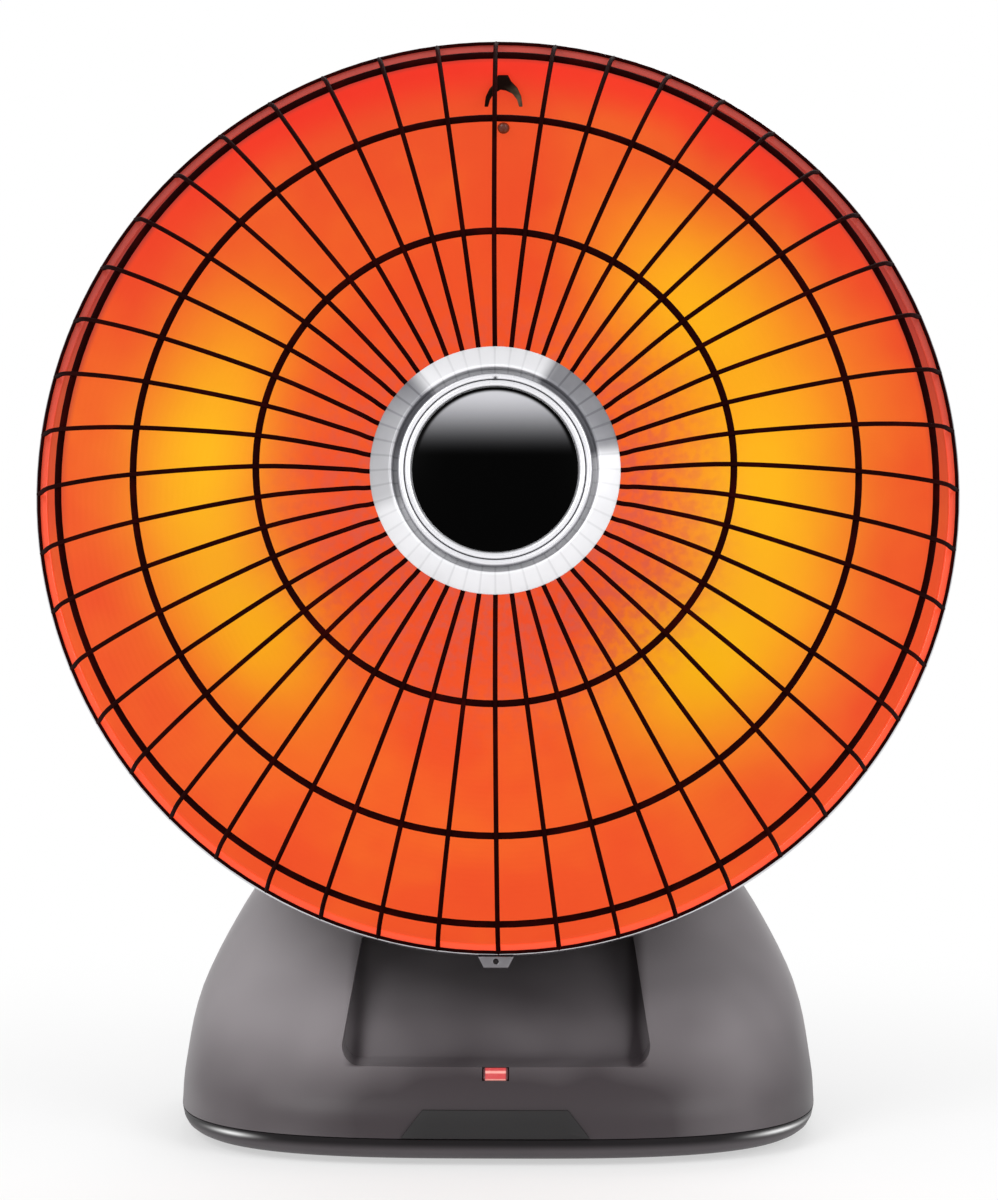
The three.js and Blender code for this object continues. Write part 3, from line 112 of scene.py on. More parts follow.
class Field:
    """A shader number that takes part in Python expressions."""

    def __init__(self, sheet: "Sheet", socket: bpy.types.NodeSocket) -> None:
        """Wraps one output socket of a sheet's node."""
        self.sheet = sheet
        self.socket = socket

    def apply(self, operation: str, other: "Field | float | None" = None,
              swap: bool = False) -> "Field":
        """Runs a Math node on this number.

        Args:
            operation: the Math node's operation.
            other: the second operand, where the operation has one.
            swap: whether the operands change places.

        Returns:
            The result as a new field.
        """
        operands: dict[int, Field | float] = {0: self}
        if other is not None:
            operands = {0: other, 1: self} if swap else {0: self, 1: other}
        node = self.sheet.node("ShaderNodeMath", {"operation": operation}, operands)
        return Field(self.sheet, node.outputs[0])

    def __add__(self, other: "Field | float") -> "Field":
        """Sum."""
        return self.apply("ADD", other)

    __radd__ = __add__

    def __sub__(self, other: "Field | float") -> "Field":
        """Difference."""
        return self.apply("SUBTRACT", other)

    def __rsub__(self, other: float) -> "Field":
        """Difference with a plain number first."""
        return self.apply("SUBTRACT", other, swap=True)

    def __mul__(self, other: "Field | float") -> "Field":
        """Product."""
        return self.apply("MULTIPLY", other)

    __rmul__ = __mul__

    def __truediv__(self, other: "Field | float") -> "Field":
        """Quotient."""
        return self.apply("DIVIDE", other)

    def __pow__(self, other: float) -> "Field":
        """Power."""
        return self.apply("POWER", other)

    def root(self) -> "Field":
        """Square root."""
        return self.apply("SQRT")

    def sine(self) -> "Field":
        """Sine of an angle in radians."""
        return self.apply("SINE")

    def size(self) -> "Field":
        """Absolute value."""
        return self.apply("ABSOLUTE")

    def clamped(self) -> "Field":
        """The number held between 0 and 1."""
        return self.apply("MAXIMUM", 0.0).apply("MINIMUM", 1.0)

    def bell(self, centre: float, spread: float) -> "Field":
        """A smooth hill of height 1 around a centre."""
        return (((self - centre) / spread) ** 2.0 * -1.0).apply("EXPONENT")

    def step(self, low: float, high: float) -> "Field":
        """A smooth rise from 0 at low to 1 at high.

        Args:
            low: where it starts.
            high: where it ends.

        Returns:
            The rise as a new field.
        """
        settings = {"interpolation_type": "SMOOTHSTEP"}
        node = self.sheet.node("ShaderNodeMapRange", settings,
                               {0: self, 1: low, 2: high, 3: 0.0, 4: 1.0})
        return Field(self.sheet, node.outputs[0])


class Sheet:
    """One material's node tree, with its Principled shader."""

    def __init__(self, name: str) -> None:
        """Starts a material that holds only its output and shader.

        Args:
            name: the material's name.
        """
        self.material = bpy.data.materials.new(name)
        self.material.use_nodes = True
        self.tree = self.material.node_tree
        self.tree.nodes.clear()
        self.shader = self.node("ShaderNodeBsdfPrincipled")
        self.output = self.node("ShaderNodeOutputMaterial", {}, {"Surface": self.shader.outputs[0]})

    def node(self, kind: str, settings: dict | None = None,
             sockets: dict | None = None) -> bpy.types.Node:
        """Adds a node.

        Args:
            kind: the node's type.
            settings: its properties, which are set first.
            sockets: values or links for its inputs, by name or index.

        Returns:
            The new node.
        """
        node = self.tree.nodes.new(kind)
        for key, value in (settings or {}).items():
            setattr(node, key, value)
        self.set(node, sockets or {})
        return node

    def set(self, node: bpy.types.Node, sockets: dict) -> None:
        """Sets or links a node's inputs.

        Args:
            node: the node.
            sockets: values or links, by name or index.
        """
        for key, value in sockets.items():
            target = node.inputs[key]
            if isinstance(value, Field):
                self.tree.links.new(value.socket, target)
            elif isinstance(value, bpy.types.NodeSocket):
                self.tree.links.new(value, target)
            else:
                target.default_value = value

    def finish(self, **sockets: object) -> bpy.types.Material:
        """Sets the shader's inputs, with underscores for spaces, and returns the material."""
        self.set(self.shader, {key.replace("_", " "): value for key, value in sockets.items()})
        return self.material

    def point(self, turn: Triple = (0, 0, 0), shift: Triple = (0, 0, 0)) -> bpy.types.NodeSocket:
        """The surface point in object coordinates, turned and then shifted.

        Args:
            turn: the turn in radians.
            shift: the shift after the turn, in metres.

        Returns:
            The point as a socket.
        """
        coordinates = self.node("ShaderNodeTexCoord")
        settings = {"vector_type": "POINT"}
        sockets = {"Vector": coordinates.outputs["Object"], "Rotation": turn, "Location": shift}
        return self.node("ShaderNodeMapping", settings, sockets).outputs[0]

    def parts(self, vector: bpy.types.NodeSocket) -> tuple[Field, Field, Field]:
        """A vector's three numbers.

        Args:
            vector: the vector's socket.

        Returns:
            Its X, Y and Z.
        """
        node = self.node("ShaderNodeSeparateXYZ", {}, {0: vector})
        return (Field(self, node.outputs[0]), Field(self, node.outputs[1]),
                Field(self, node.outputs[2]))

    def noise(self, vector: bpy.types.NodeSocket, scale: float, detail: float = 3.0,
              rough: float = 0.5) -> Field:
        """A noise of about 0.5 on average."""
        sockets = {"Vector": vector, "Scale": scale, "Detail": detail, "Roughness": rough}
        return Field(self, self.node("ShaderNodeTexNoise", {}, sockets).outputs["Fac"])

    def blend(self, factor: Field, low: object, high: object) -> bpy.types.NodeSocket:
        """A colour between two, by a factor."""
        node = self.node("ShaderNodeMix", {"data_type": "RGBA"}, {0: factor, 6: low, 7: high})
        return node.outputs[2]

    def bump(self, height: Field, strength: float, distance: float) -> bpy.types.NodeSocket:
        """A bumped normal from a height."""
        sockets = {"Height": height, "Strength": strength, "Distance": distance}
        return self.node("ShaderNodeBump", {}, sockets).outputs[0]


def shade(colour: Colour, factor: float) -> Colour:
    """A colour made lighter or darker."""
    return (colour[0] * factor, colour[1] * factor, colour[2] * factor, 1.0)


# ---------------------------------------------------------------- finishes


@dataclass(frozen=True)
class MouldedPlastic:
    """Satin moulded plastic with a fine spark-eroded grain and faint handling marks."""

    name: str
    colour: Colour
    roughness: float = 0.4
    mottle: float = 0.1
    grain_scale: float = 1800.0
    grain_depth: float = 0.08
    coat: float = 0.0

    def material(self) -> bpy.types.Material:
        """The finish as a material.

        Returns:
            The material.
        """
        sheet = Sheet(self.name)
        spot = sheet.point()
        patches = sheet.noise(spot, 28.0, 4.0)
        grain = sheet.noise(spot, self.grain_scale, 2.0)
        low, high = shade(self.colour, 1 - self.mottle), shade(self.colour, 1 + self.mottle)
        return sheet.finish(
            Base_Color=sheet.blend(patches, low, high),
            Roughness=self.roughness - 0.06 + patches * 0.12,
            Normal=sheet.bump(grain, self.grain_depth, 0.0004),
            Coat_Weight=self.coat,
            Coat_Roughness=0.12,
        )


@dataclass(frozen=True)
class SmokedPlastic:
    """The base's smoky grey plastic, cloudy, with painted shadow low in its middle and painted
    light above.
    """

    name: str
    light: Colour
    dark: Colour
    roughness: float = 0.4

    def material(self) -> bpy.types.Material:
        """The finish as a material.

        Returns:
            The material.
        """
        sheet = Sheet(self.name)
        spot = sheet.point()
        across, depth, up = sheet.parts(spot)
        clouds = sheet.noise(spot, 13.0, 2.0, 0.45)
        grain = sheet.noise(spot, 1500.0, 2.0)
        # Painted light and shade: lighter higher up, towards the sides and on the left, a painted
        # highlight at upper left, and a painted shadow low in the middle under the dish.
        side = across.size().step(0.045, 0.12)
        lift = up.step(0.03, 0.11)
        left = across.step(0.05, -0.09)
        patches = across.bell(-0.088, 0.03) * up.bell(0.082, 0.028) * 0.2
        low = up.step(0.056, 0.024) * 0.34 * (1.0 - side * 0.2)
        tone = lift * 0.31 + side * 0.23 + left * 0.24 + (clouds - 0.5) * 0.8 + 0.12 + patches - low
        # Painted shade: dark bands just inside the recess's side walls; the recess itself is lifted
        # a little.
        inside = (across.size().step(0.0689, 0.0680) * up.step(0.0412, 0.0424)
                  * depth.step(0.02, 0.0))
        edges = across.size().bell(0.0625, 0.0035) * inside
        tone = tone + inside * 0.03 - edges * 0.35
        return sheet.finish(
            Base_Color=sheet.blend(tone.clamped(), self.dark, self.light),
            Roughness=self.roughness - 0.05 + clouds * 0.1,
            Specular_IOR_Level=0.22,
            Normal=sheet.bump(grain, 0.04, 0.0003),
        )


@dataclass(frozen=True)
class TrayPlastic:
    """The tray's darker plastic, with painted shade near black under the parting line and painted
    glints near its corners.
    """

    name: str
    colour: Colour
    seam_shade: Colour
    glint: Colour
    seam_height: float = 0.0126

    def material(self) -> bpy.types.Material:
        """The finish as a material.

        Returns:
            The material.
        """
        sheet = Sheet(self.name)
        spot = sheet.point()
        across, depth, up = sheet.parts(spot)
        clouds = sheet.noise(spot, 18.0, 2.0)
        grain = sheet.noise(spot, 1500.0, 2.0)
        # Painted shade: near black just under the parting line, fading lower down.
        under = up.step(self.seam_height - 0.0062, self.seam_height - 0.0018)
        body = sheet.blend((clouds * 0.5).clamped(), self.colour, shade(self.colour, 0.6))
        with_seam_shade = sheet.blend(under, body, self.seam_shade)
        # Painted glints: pale spots on the top edge near the left and right corners, on the front.
        height = up.bell(self.seam_height - 0.0022, 0.0009)
        left, right = across.bell(-0.118, 0.009), across.bell(0.127, 0.011)
        painted_glints = ((left + right) * height * depth.step(0.0, -0.03)).clamped()
        return sheet.finish(
            Base_Color=sheet.blend(painted_glints, with_seam_shade, self.glint),
            Roughness=0.38 + clouds * 0.08,
            Specular_IOR_Level=0.15,
            Normal=sheet.bump(grain, 0.04, 0.0003),
        )


@dataclass(frozen=True)
class BrightMetal:
    """Polished or brushed bright metal with fine wear."""

    name: str
    colour: Colour
    roughness: float = 0.1
    wear: float = 0.06
    brush_scale: float = 400.0

    def material(self) -> bpy.types.Material:
        """The finish as a material.

        Returns:
            The material.
        """
        sheet = Sheet(self.name)
        spot = sheet.point()
        haze = sheet.noise(spot, 35.0, 4.0)
        brush = sheet.noise(spot, self.brush_scale, 3.0)
        return sheet.finish(
            Base_Color=sheet.blend(haze, shade(self.colour, 0.93), self.colour),
            Metallic=1.0,
            Roughness=(haze - 0.5) * self.wear + self.roughness,
            Normal=sheet.bump(brush, 0.03, 0.0002),
        )


@dataclass(frozen=True)
class WirePaint:
    """Heat-proof dark paint on wire, with noise patches of a second colour that is painted light.
    """

    name: str
    colour: Colour
    painted_light_tone: Colour

    def material(self) -> bpy.types.Material:
        """The finish as a material.

        Returns:
            The material.
        """
        sheet = Sheet(self.name)
        spot = sheet.point()
        patches = sheet.noise(spot, 60.0, 4.0)
        grain = sheet.noise(spot, 2500.0, 2.0)
        return sheet.finish(
            # The second colour is painted light in noise patches: a deeper red glow on the guard,
            # pale glints on the bracket.
            Base_Color=sheet.blend(patches.step(0.45, 0.75), self.colour, self.painted_light_tone),
            Roughness=0.62 + patches * 0.16,
            Normal=sheet.bump(grain, 0.1, 0.0003),
            Specular_IOR_Level=0.02,
        )


@dataclass(frozen=True)
class DishFinish:
    """What the finishes of the round dish share: its own coordinates in the shader."""

    name: str
    centre: Vector

    def start(self) -> tuple[Sheet, bpy.types.NodeSocket, Field, Field, Field]:
        """Opens a sheet.

        Returns:
            The sheet, the point in the dish frame in metres, and its across, up and radius.
        """
        sheet = Sheet(self.name)
        turn = Matrix.Rotation(REST_TILT, 3, "X")
        shift = -(turn @ self.centre)
        spot = sheet.point((REST_TILT, 0, 0), tuple(shift))
        across, _, up = sheet.parts(spot)
        radius = (across * across + up * up).root()
        return sheet, spot, across, up, radius


@dataclass(frozen=True)
class Glow:
    """One soft arc of reflected glow about the dish axis: its middle, spreads and strength."""

    share: float
    angle: float
    wide: float
    long: float
    strength: float


@dataclass(frozen=True)
class GlowingBowl(DishFinish):
    """The polished bowl with the winding's light painted on as a glow: red-orange with painted gold
    crescents of reflection.
    """

    rim: float = 0.207
    red: Colour = srgb(236, 70, 38)
    orange: Colour = srgb(242, 104, 38)
    gold: Colour = srgb(253, 186, 20)
    vivid: Colour = srgb(246, 44, 34)
    shaded_glow: Colour = srgb(168, 58, 50)
    pink: Colour = srgb(218, 88, 70)
    rear: Colour = srgb(120, 112, 108)
    lit: float = 0.69
    glows: tuple[Glow, ...] = (
        Glow(0.59, 4, 0.18, 32, 1.0),
        Glow(0.57, -38, 0.18, 20, 0.8),
        Glow(0.63, 48, 0.16, 20, 0.75),
        Glow(0.67, 170, 0.13, 28, 0.95),
        Glow(0.59, 208, 0.13, 20, 0.7),
    )

    def material(self) -> bpy.types.Material:
        """The finish as a material.

        Returns:
            The material.
        """
        sheet, spot, across, up, radius = self.start()
        share = radius / self.rim
        cloud = sheet.noise(spot, 14.0, 3.0)
        angle = up.apply("ARCTAN2", across)
        streak_point = sheet.node("ShaderNodeVectorMath", {"operation": "NORMALIZE"},
                                  {0: spot}).outputs[0]
        streaks = sheet.noise(streak_point, 26.0, 2.0)
        gold = None
        # Painted reflection: gold crescents of the winding's light, clouded by noise.
        for glow in self.glows:
            away = (angle - math.radians(glow.angle)).apply("COSINE") - 1.0
            arc_part = (away / (math.radians(glow.long) ** 2 / 2)).apply("EXPONENT")
            patch = share.bell(glow.share, glow.wide) * arc_part * glow.strength
            gold = patch if gold is None else gold + patch
        gold = (gold + (cloud - 0.5) * 0.3).clamped()
        warm = sheet.blend((cloud * 0.7 + gold * 0.8).clamped(), self.red, self.orange)
        tinted = sheet.blend(gold, warm, self.gold)
        # Painted reflections: pink streaks near the middle and a vivid red flare near the upper
        # rim.
        near = share.step(0.6, 0.24) * streaks.step(0.35, 0.7) * 0.8
        streaked = sheet.blend(near, tinted, self.pink)
        leaned = share - up / self.rim * 0.022
        flare = leaned.step(0.84, 0.93) * (up / self.rim).step(0.2, 0.9) * 0.8
        flared = sheet.blend(flare, streaked, self.vivid)
        # Painted shade: the bowl's upper edge dulled to a dark red.
        edge = leaned.step(0.934, 0.95) * (up / self.rim + 0.4).step(0.0, 1.0)
        colour = sheet.blend(edge, flared, self.shaded_glow)
        rings = (radius * 2400.0).sine()
        _, deep, high = sheet.parts(sheet.node("ShaderNodeTexCoord").outputs["Normal"])
        front = (high * math.sin(REST_TILT) - deep * math.cos(REST_TILT)).step(-0.1, 0.1)
        # The base colour is the painted glow dimmed and the emission paints the glow itself; the
        # rear face keeps its grey with a faint painted glow.
        lit = sheet.blend((cloud * 0.1 + 0.3).clamped(), UNLIT, colour)
        return sheet.finish(
            Base_Color=sheet.blend(front, self.rear, lit),
            Roughness=0.3 + cloud * 0.1,
            Specular_IOR_Level=0.2,
            Normal=sheet.bump(rings, 0.04, 0.0002),
            Emission_Color=sheet.blend(front, shade(self.shaded_glow, 0.08), colour),
            Emission_Strength=self.lit,
        )


@dataclass(frozen=True)
class RimTrim(DishFinish):
    """The bright rim band, whose inner lip has the bowl's glow painted on as a reflection, darker
    towards the top as painted shade.
    """

    bright: Colour = srgb(214, 214, 218)
    warm: Colour = srgb(236, 76, 42)
    shaded_glow: Colour = srgb(150, 54, 46)
    lip_radius: float = 0.2058
    lit: float = 0.6

    def material(self) -> bpy.types.Material:
        """The finish as a material.

        Returns:
            The material.
        """
        sheet, spot, _, up, radius = self.start()
        haze = sheet.noise(spot, 35.0, 4.0)
        brush = sheet.noise(spot, 400.0, 3.0)
        outside = radius.step(self.lip_radius - 0.0006, self.lip_radius)
        # Painted reflection of the bowl's glow on the inner lip, darker towards the top as painted
        # shade.
        painted_top_shade = ((up / 0.2 + 0.4).step(0.0, 1.0) + (haze - 0.5) * 0.3).clamped()
        glow = sheet.blend(painted_top_shade, self.warm, self.shaded_glow)
        return sheet.finish(
            Base_Color=sheet.blend(outside, glow, self.bright),
            Metallic=outside,
            Roughness=0.16 + haze * 0.1,
            Normal=sheet.bump(brush, 0.03, 0.0002),
            Emission_Color=sheet.blend(outside, glow, UNLIT),
            Emission_Strength=self.lit,
        )


@dataclass(frozen=True)
class SpunTrim(DishFinish):
    """Bright spun trim of the hub: near white, with painted grey reflection sectors, painted
    reflections of the wires and painted shade in the groove.
    """

    pale: Colour = srgb(244, 244, 247)
    grey: Colour = srgb(112, 112, 118)
    spokes: int = 48
    clocking: float = math.radians(0.3)
    right_sector: float = math.radians(36)
    left_sector: float = math.radians(164)
    well_radius: float = 0.0448

    def material(self) -> bpy.types.Material:
        """The finish as a material.

        Returns:
            The material.
        """
        sheet, spot, across, up, radius = self.start()
        angle = up.apply("ARCTAN2", across)
        # Painted reflections: grey sectors on the right and on the left, the left one stronger
        # higher up.
        right = (angle - self.right_sector).apply("COSINE").step(0.86, 0.93)
        left = (angle - self.left_sector).apply("COSINE").step(0.78, 0.88) * (0.75 + up / 0.07)
        # Painted reflections of the guard's wires.
        marks = ((angle - self.clocking) * float(self.spokes)).apply("COSINE").step(0.82, 1.0)
        haze = sheet.noise(spot, 60.0, 3.0)
        lines = (radius * 9000.0).sine()
        # Painted shade in the groove, stronger above and below the middle.
        groove_shade = radius.step(self.well_radius + 0.0004,
                           self.well_radius - 0.0004) * (0.25 + up.size() / 0.12)
        tone = (right * 0.9 + left * 0.7 + marks * 0.14 + groove_shade + (haze - 0.5) * 0.25).clamped()
        return sheet.finish(
            Base_Color=sheet.blend(tone, self.pale, self.grey),
            Metallic=0.35,
            Roughness=0.34 + haze * 0.1,
            Normal=sheet.bump(lines, 0.05, 0.0001),
        )


@dataclass(frozen=True)
class BeadTrim(DishFinish):
    """The hub's polished bezel: two pale beads, with painted shade in the crease between them and
    at a notch on top, and a painted grey reflection on the outer slope.
    """

    pale: Colour = srgb(240, 240, 244)
    grey: Colour = srgb(120, 120, 126)
    dark: Colour = srgb(46, 46, 50)
    groove: float = 0.03935
    outside: float = 0.0424

    def material(self) -> bpy.types.Material:
        """The finish as a material.

        Returns:
            The material.
        """
        sheet, spot, across, up, radius = self.start()
        angle = up.apply("ARCTAN2", across)
        haze = sheet.noise(spot, 80.0, 3.0)
        lines = (radius * 9000.0).sine()
        # Painted shade in the crease between the beads and at a notch on top; the outer slope is a
        # painted grey reflection.
        notch = angle.bell(math.pi / 2, 0.022) * radius.bell(self.groove + 0.0007, 0.0006)
        slope = radius.step(self.outside - 0.0012, self.outside - 0.0002)
        line = (radius.bell(self.groove, 0.00028) + notch).clamped()
        body = sheet.blend((slope * 0.8 + (haze - 0.5) * 0.2).clamped(), self.pale, self.grey)
        return sheet.finish(
            Base_Color=sheet.blend(line, body, self.dark),
            Metallic=0.45,
            Roughness=0.22 + haze * 0.1,
            Normal=sheet.bump(lines, 0.03, 0.0001),
        )


@dataclass(frozen=True)
class GlossDisc(DishFinish):
    """The hub's glossy black disc, with a soft sheen painted across its upper third as a
    reflection.
    """

    sheen: Colour = srgb(205, 205, 210)
    black: Colour = srgb(2, 2, 2)
    disc_radius: float = 0.036

    def material(self) -> bpy.types.Material:
        """The finish as a material.

        Returns:
            The material.
        """
        sheet, spot, _, up, radius = self.start()
        # Painted reflection: a pale sheen that fades from the top down to just above the middle,
        # inside the rim.
        height = up / self.disc_radius
        inside = 1.0 - (radius / self.disc_radius).step(0.93, 0.97)
        band = height.step(0.12, 1.0) ** 1.6 * inside
        haze = sheet.noise(spot, 120.0, 3.0)
        return sheet.finish(
            Base_Color=sheet.blend((band * 0.9).clamped(), self.black, self.sheen),
            Roughness=0.3 + haze * 0.05,
            Specular_IOR_Level=0.02,
        )


@dataclass(frozen=True)
class HotWinding:
    """Glowing resistance wire, brighter in noisy patches."""

    name: str
    dull: Colour
    bright: Colour
    lit: float = 1.2

    def material(self) -> bpy.types.Material:
        """The finish as a material.

        Returns:
            The material.
        """
        sheet = Sheet(self.name)
        spot = sheet.point()
        beads = sheet.noise(spot, 700.0, 2.0)
        flame = sheet.noise(spot, 60.0, 3.0)
        colour = sheet.blend((flame * 0.6 + beads * 0.5).clamped(), self.dull, self.bright)
        return sheet.finish(
            Base_Color=colour,
            Roughness=0.5 + beads * 0.2,
            Emission_Color=colour,
            Emission_Strength=self.lit,
            Normal=sheet.bump(beads, 0.4, 0.0006),
        )


@dataclass(frozen=True)
class LitLens:
    """The moulded red indicator lens with ribs that catch the lamp."""

    name: str
    deep: Colour
    bright: Colour
    centre_height: float
    rib_pitch: float = 0.0032
    unlit: Colour = srgb(84, 52, 54)
    lit_half: float = 0.0042
    lit: float = 0.3

    def material(self) -> bpy.types.Material:
        """The finish as a material.

        Returns:
            The material.
        """
        sheet = Sheet(self.name)
        spot = sheet.point()
        across, _, up = sheet.parts(spot)
        haze = sheet.noise(spot, 500.0, 3.0)
        shining = across.size().step(self.lit_half + 0.0007, self.lit_half)
        ribs = ((up - self.centre_height) * (math.tau / self.rib_pitch)).sine().step(0.2, 0.95)
        glow = sheet.blend((ribs * 0.8 + (haze - 0.5) * 0.4).clamped(), self.deep, self.bright)
        return sheet.finish(
            Base_Color=sheet.blend(shining, self.unlit, glow),
            Roughness=0.2 + haze * 0.1,
            Specular_IOR_Level=0.3,
            Emission_Color=sheet.blend(shining, UNLIT, glow),
            Emission_Strength=self.lit,
        )


# ---------------------------------------------------------------- mesh building


def lathe(profile: Sequence[Station], steps: int = 96, closed: bool = True) -> bmesh.types.BMesh:
    """Spins a profile about the dish axis.

    Args:
        profile: radius and forward distance of each corner.
        steps: how many sides the circle gets.
        closed: whether the last corner joins the first.

    Returns:
        The closed form, in millimetres.
    """
    bm = bmesh.new()
    corners = [bm.verts.new((radius, -forward, 0)) for radius, forward in profile]
    edges = [bm.edges.new(pair) for pair in zip(corners, corners[1:])]
    if closed and profile[0][0] > 0 and profile[-1][0] > 0:
        edges.append(bm.edges.new((corners[-1], corners[0])))
    bmesh.ops.spin(bm, geom=corners + edges, cent=(0, 0, 0), axis=(0, 1, 0), angle=math.tau,
                   steps=steps, use_merge=True)
    return tidy(bm)


def tidy(bm: bmesh.types.BMesh, distance: float = 1e-4) -> bmesh.types.BMesh:
    """Merges doubles and turns the faces outwards.

    Args:
        bm: the form.
        distance: how close two vertices are to be one.

    Returns:
        The same form.
    """
    bmesh.ops.remove_doubles(bm, verts=bm.verts, dist=distance)
    bmesh.ops.dissolve_degenerate(bm, dist=1e-6, edges=bm.edges)
    bmesh.ops.recalc_face_normals(bm, faces=bm.faces)
    return bm


def frame_at(point: Vector, tangent: Vector, side: Vector) -> Matrix:
    """A matrix whose Z runs along a tangent and whose X keeps close to a side.

    Args:
        point: its origin.
        tangent: the direction of its Z.
        side: the direction that its X keeps close to.

    Returns:
        The matrix.
    """
    along = tangent.normalized()
    across = (side - along * side.dot(along)).normalized()
    up = along.cross(across)
    turn = Matrix((across, up, along)).transposed().to_4x4()
    return Matrix.Translation(point) @ turn


def sweep(points: Sequence[Vector], radius: float, sides: int, side: Vector) -> bmesh.types.BMesh:
    """Extrudes a circle along a path.

    Args:
        points: the path, in millimetres.
        radius: the wire's or tube's radius.
        sides: the sides of its section.
        side: a direction that is never along the path.

    Returns:
        The closed tube.
    """
    bm = bmesh.new()
    last = len(points) - 1
    tangents = [points[min(i + 1, last)] - points[max(i - 1, 0)] for i in range(len(points))]
    frames = [frame_at(point, tangent, side) for point, tangent in zip(points, tangents)]
    ring = bmesh.ops.create_circle(bm, radius=radius, segments=sides, matrix=frames[0])["verts"]
    edges = list(bm.edges)
    bmesh.ops.contextual_create(bm, geom=edges)
    for here, there in zip(frames, frames[1:]):
        made = bmesh.ops.extrude_edge_only(bm, edges=edges)["geom"]
        ring = [part for part in made if isinstance(part, bmesh.types.BMVert)]
        edges = [part for part in made if isinstance(part, bmesh.types.BMEdge)]
        bmesh.ops.transform(bm, matrix=there @ here.inverted(), verts=ring)
    bmesh.ops.contextual_create(bm, geom=edges)
    bmesh.ops.recalc_face_normals(bm, faces=bm.faces)
    return bm


def ring_wire(radius: float, forward: float, wire: float, steps: int = 144,
              sides: int = 10) -> bmesh.types.BMesh:
    """A closed hoop of round wire about the dish axis.

    Args:
        radius: its radius.
        forward: its distance in front of the rim plane.
        wire: the wire's diameter.
        steps: how many steps go round the hoop.
        sides: how many sides the section gets.

    Returns:
        The closed hoop.
    """
    bm = bmesh.new()
    place = Matrix.Translation((radius, -forward, 0))
    bmesh.ops.create_circle(bm, radius=wire / 2, segments=sides, matrix=place)
    geometry = list(bm.verts) + list(bm.edges)
    bmesh.ops.spin(bm, geom=geometry, cent=(0, 0, 0), axis=(0, 1, 0), angle=math.tau, steps=steps,
                   use_merge=True)
    return tidy(bm)


def prism(outline: Sequence[Vector], depth: Vector) -> bmesh.types.BMesh:
    """A flat outline extruded along a vector.

    Args:
        outline: its corners in order.
        depth: how far and which way it is extruded.

    Returns:
        The closed form.
    """
    bm = bmesh.new()
    face = bm.faces.new([bm.verts.new(corner) for corner in outline])
    made = bmesh.ops.extrude_face_region(bm, geom=[face])["geom"]
    bmesh.ops.translate(bm, vec=depth,
                        verts=[part for part in made if isinstance(part, bmesh.types.BMVert)])
    bmesh.ops.recalc_face_normals(bm, faces=bm.faces)
    return bm


def block(width: float, depth: float, height: float, centre: Triple, round_off: float = 0.0,
          segments: int = 3) -> bmesh.types.BMesh:
    """A block with rounded edges, by its middle.

    Args:
        width: its size along X.
        depth: its size along Y.
        height: its size along Z.
        centre: its middle.
        round_off: the rounding's width, or 0 for sharp edges.
        segments: the steps of the rounding.

    Returns:
        The closed form.
    """
    bm = bmesh.new()
    bmesh.ops.create_cube(bm, size=1.0)
    bmesh.ops.scale(bm, vec=(width, depth, height), verts=bm.verts)
    if round_off:
        bmesh.ops.bevel(bm, geom=bm.edges, offset=round_off, affect="EDGES", segments=segments,
                        profile=0.5, material=-1)
    bmesh.ops.translate(bm, vec=centre, verts=bm.verts)
    return bm


def rod(radius: float, start: Vector, end: Vector, sides: int = 32) -> bmesh.types.BMesh:
    """A plain round rod between two points.

    Args:
        radius: its radius.
        start: the middle of one end.
        end: the middle of the other end.
        sides: how many sides the section gets.

    Returns:
        The closed form.
    """
    bm = bmesh.new()
    along = end - start
    side = Vector((0, 0, 1)) if abs(along.normalized().z) < 0.9 else Vector((1, 0, 0))
    place = frame_at((start + end) / 2, along, side)
    bmesh.ops.create_cone(bm, cap_ends=True, segments=sides, radius1=radius, radius2=radius,
                          depth=along.length, matrix=place)
    return bm


def catmull(knots: Sequence[Vector], per_span: int) -> list[Vector]:
    """A smooth curve through the knots, with the given steps in each span.

    Args:
        knots: the points that it goes through.
        per_span: the steps between two knots.

    Returns:
        The curve's points.
    """
    padded = [knots[0] * 2 - knots[1], *knots, knots[-1] * 2 - knots[-2]]
    points = []
    for before, start, end, after in zip(padded, padded[1:], padded[2:], padded[3:]):
        for step in range(per_span):
            t = step / per_span
            points.append(0.5 * (2 * start + (end - before) * t
                                 + (2 * before - 5 * start + 4 * end - after) * t * t
                                 + (3 * start - before - 3 * end + after) * t ** 3))
    points.append(knots[-1].copy())
    return points


def arc(centre: Station, radius: float, start: float, end: float, steps: int) -> list[Station]:
    """Profile stations along an arc, by angles in degrees."""
    angles = [math.radians(start + (end - start) * i / steps) for i in range(steps + 1)]
    return [(centre[0] + radius * math.cos(a), centre[1] + radius * math.sin(a)) for a in angles]


def turn_copies(bm: bmesh.types.BMesh, count: int, start: float = 0.0) -> bmesh.types.BMesh:
    """Repeats a form around the dish axis.

    Args:
        bm: the form.
        count: how many there are in all.
        start: the first one's angle, in radians.

    Returns:
        The same form, with its copies.
    """
    bmesh.ops.rotate(bm, cent=(0, 0, 0), matrix=Matrix.Rotation(-start, 3, "Y"), verts=bm.verts)
    first = list(bm.verts) + list(bm.edges) + list(bm.faces)
    for i in range(1, count):
        made = bmesh.ops.duplicate(bm, geom=first)["geom"]
        turn = Matrix.Rotation(-math.tau * i / count, 3, "Y")
        verts = [part for part in made if isinstance(part, bmesh.types.BMVert)]
        bmesh.ops.rotate(bm, cent=(0, 0, 0), matrix=turn, verts=verts)
    return bm


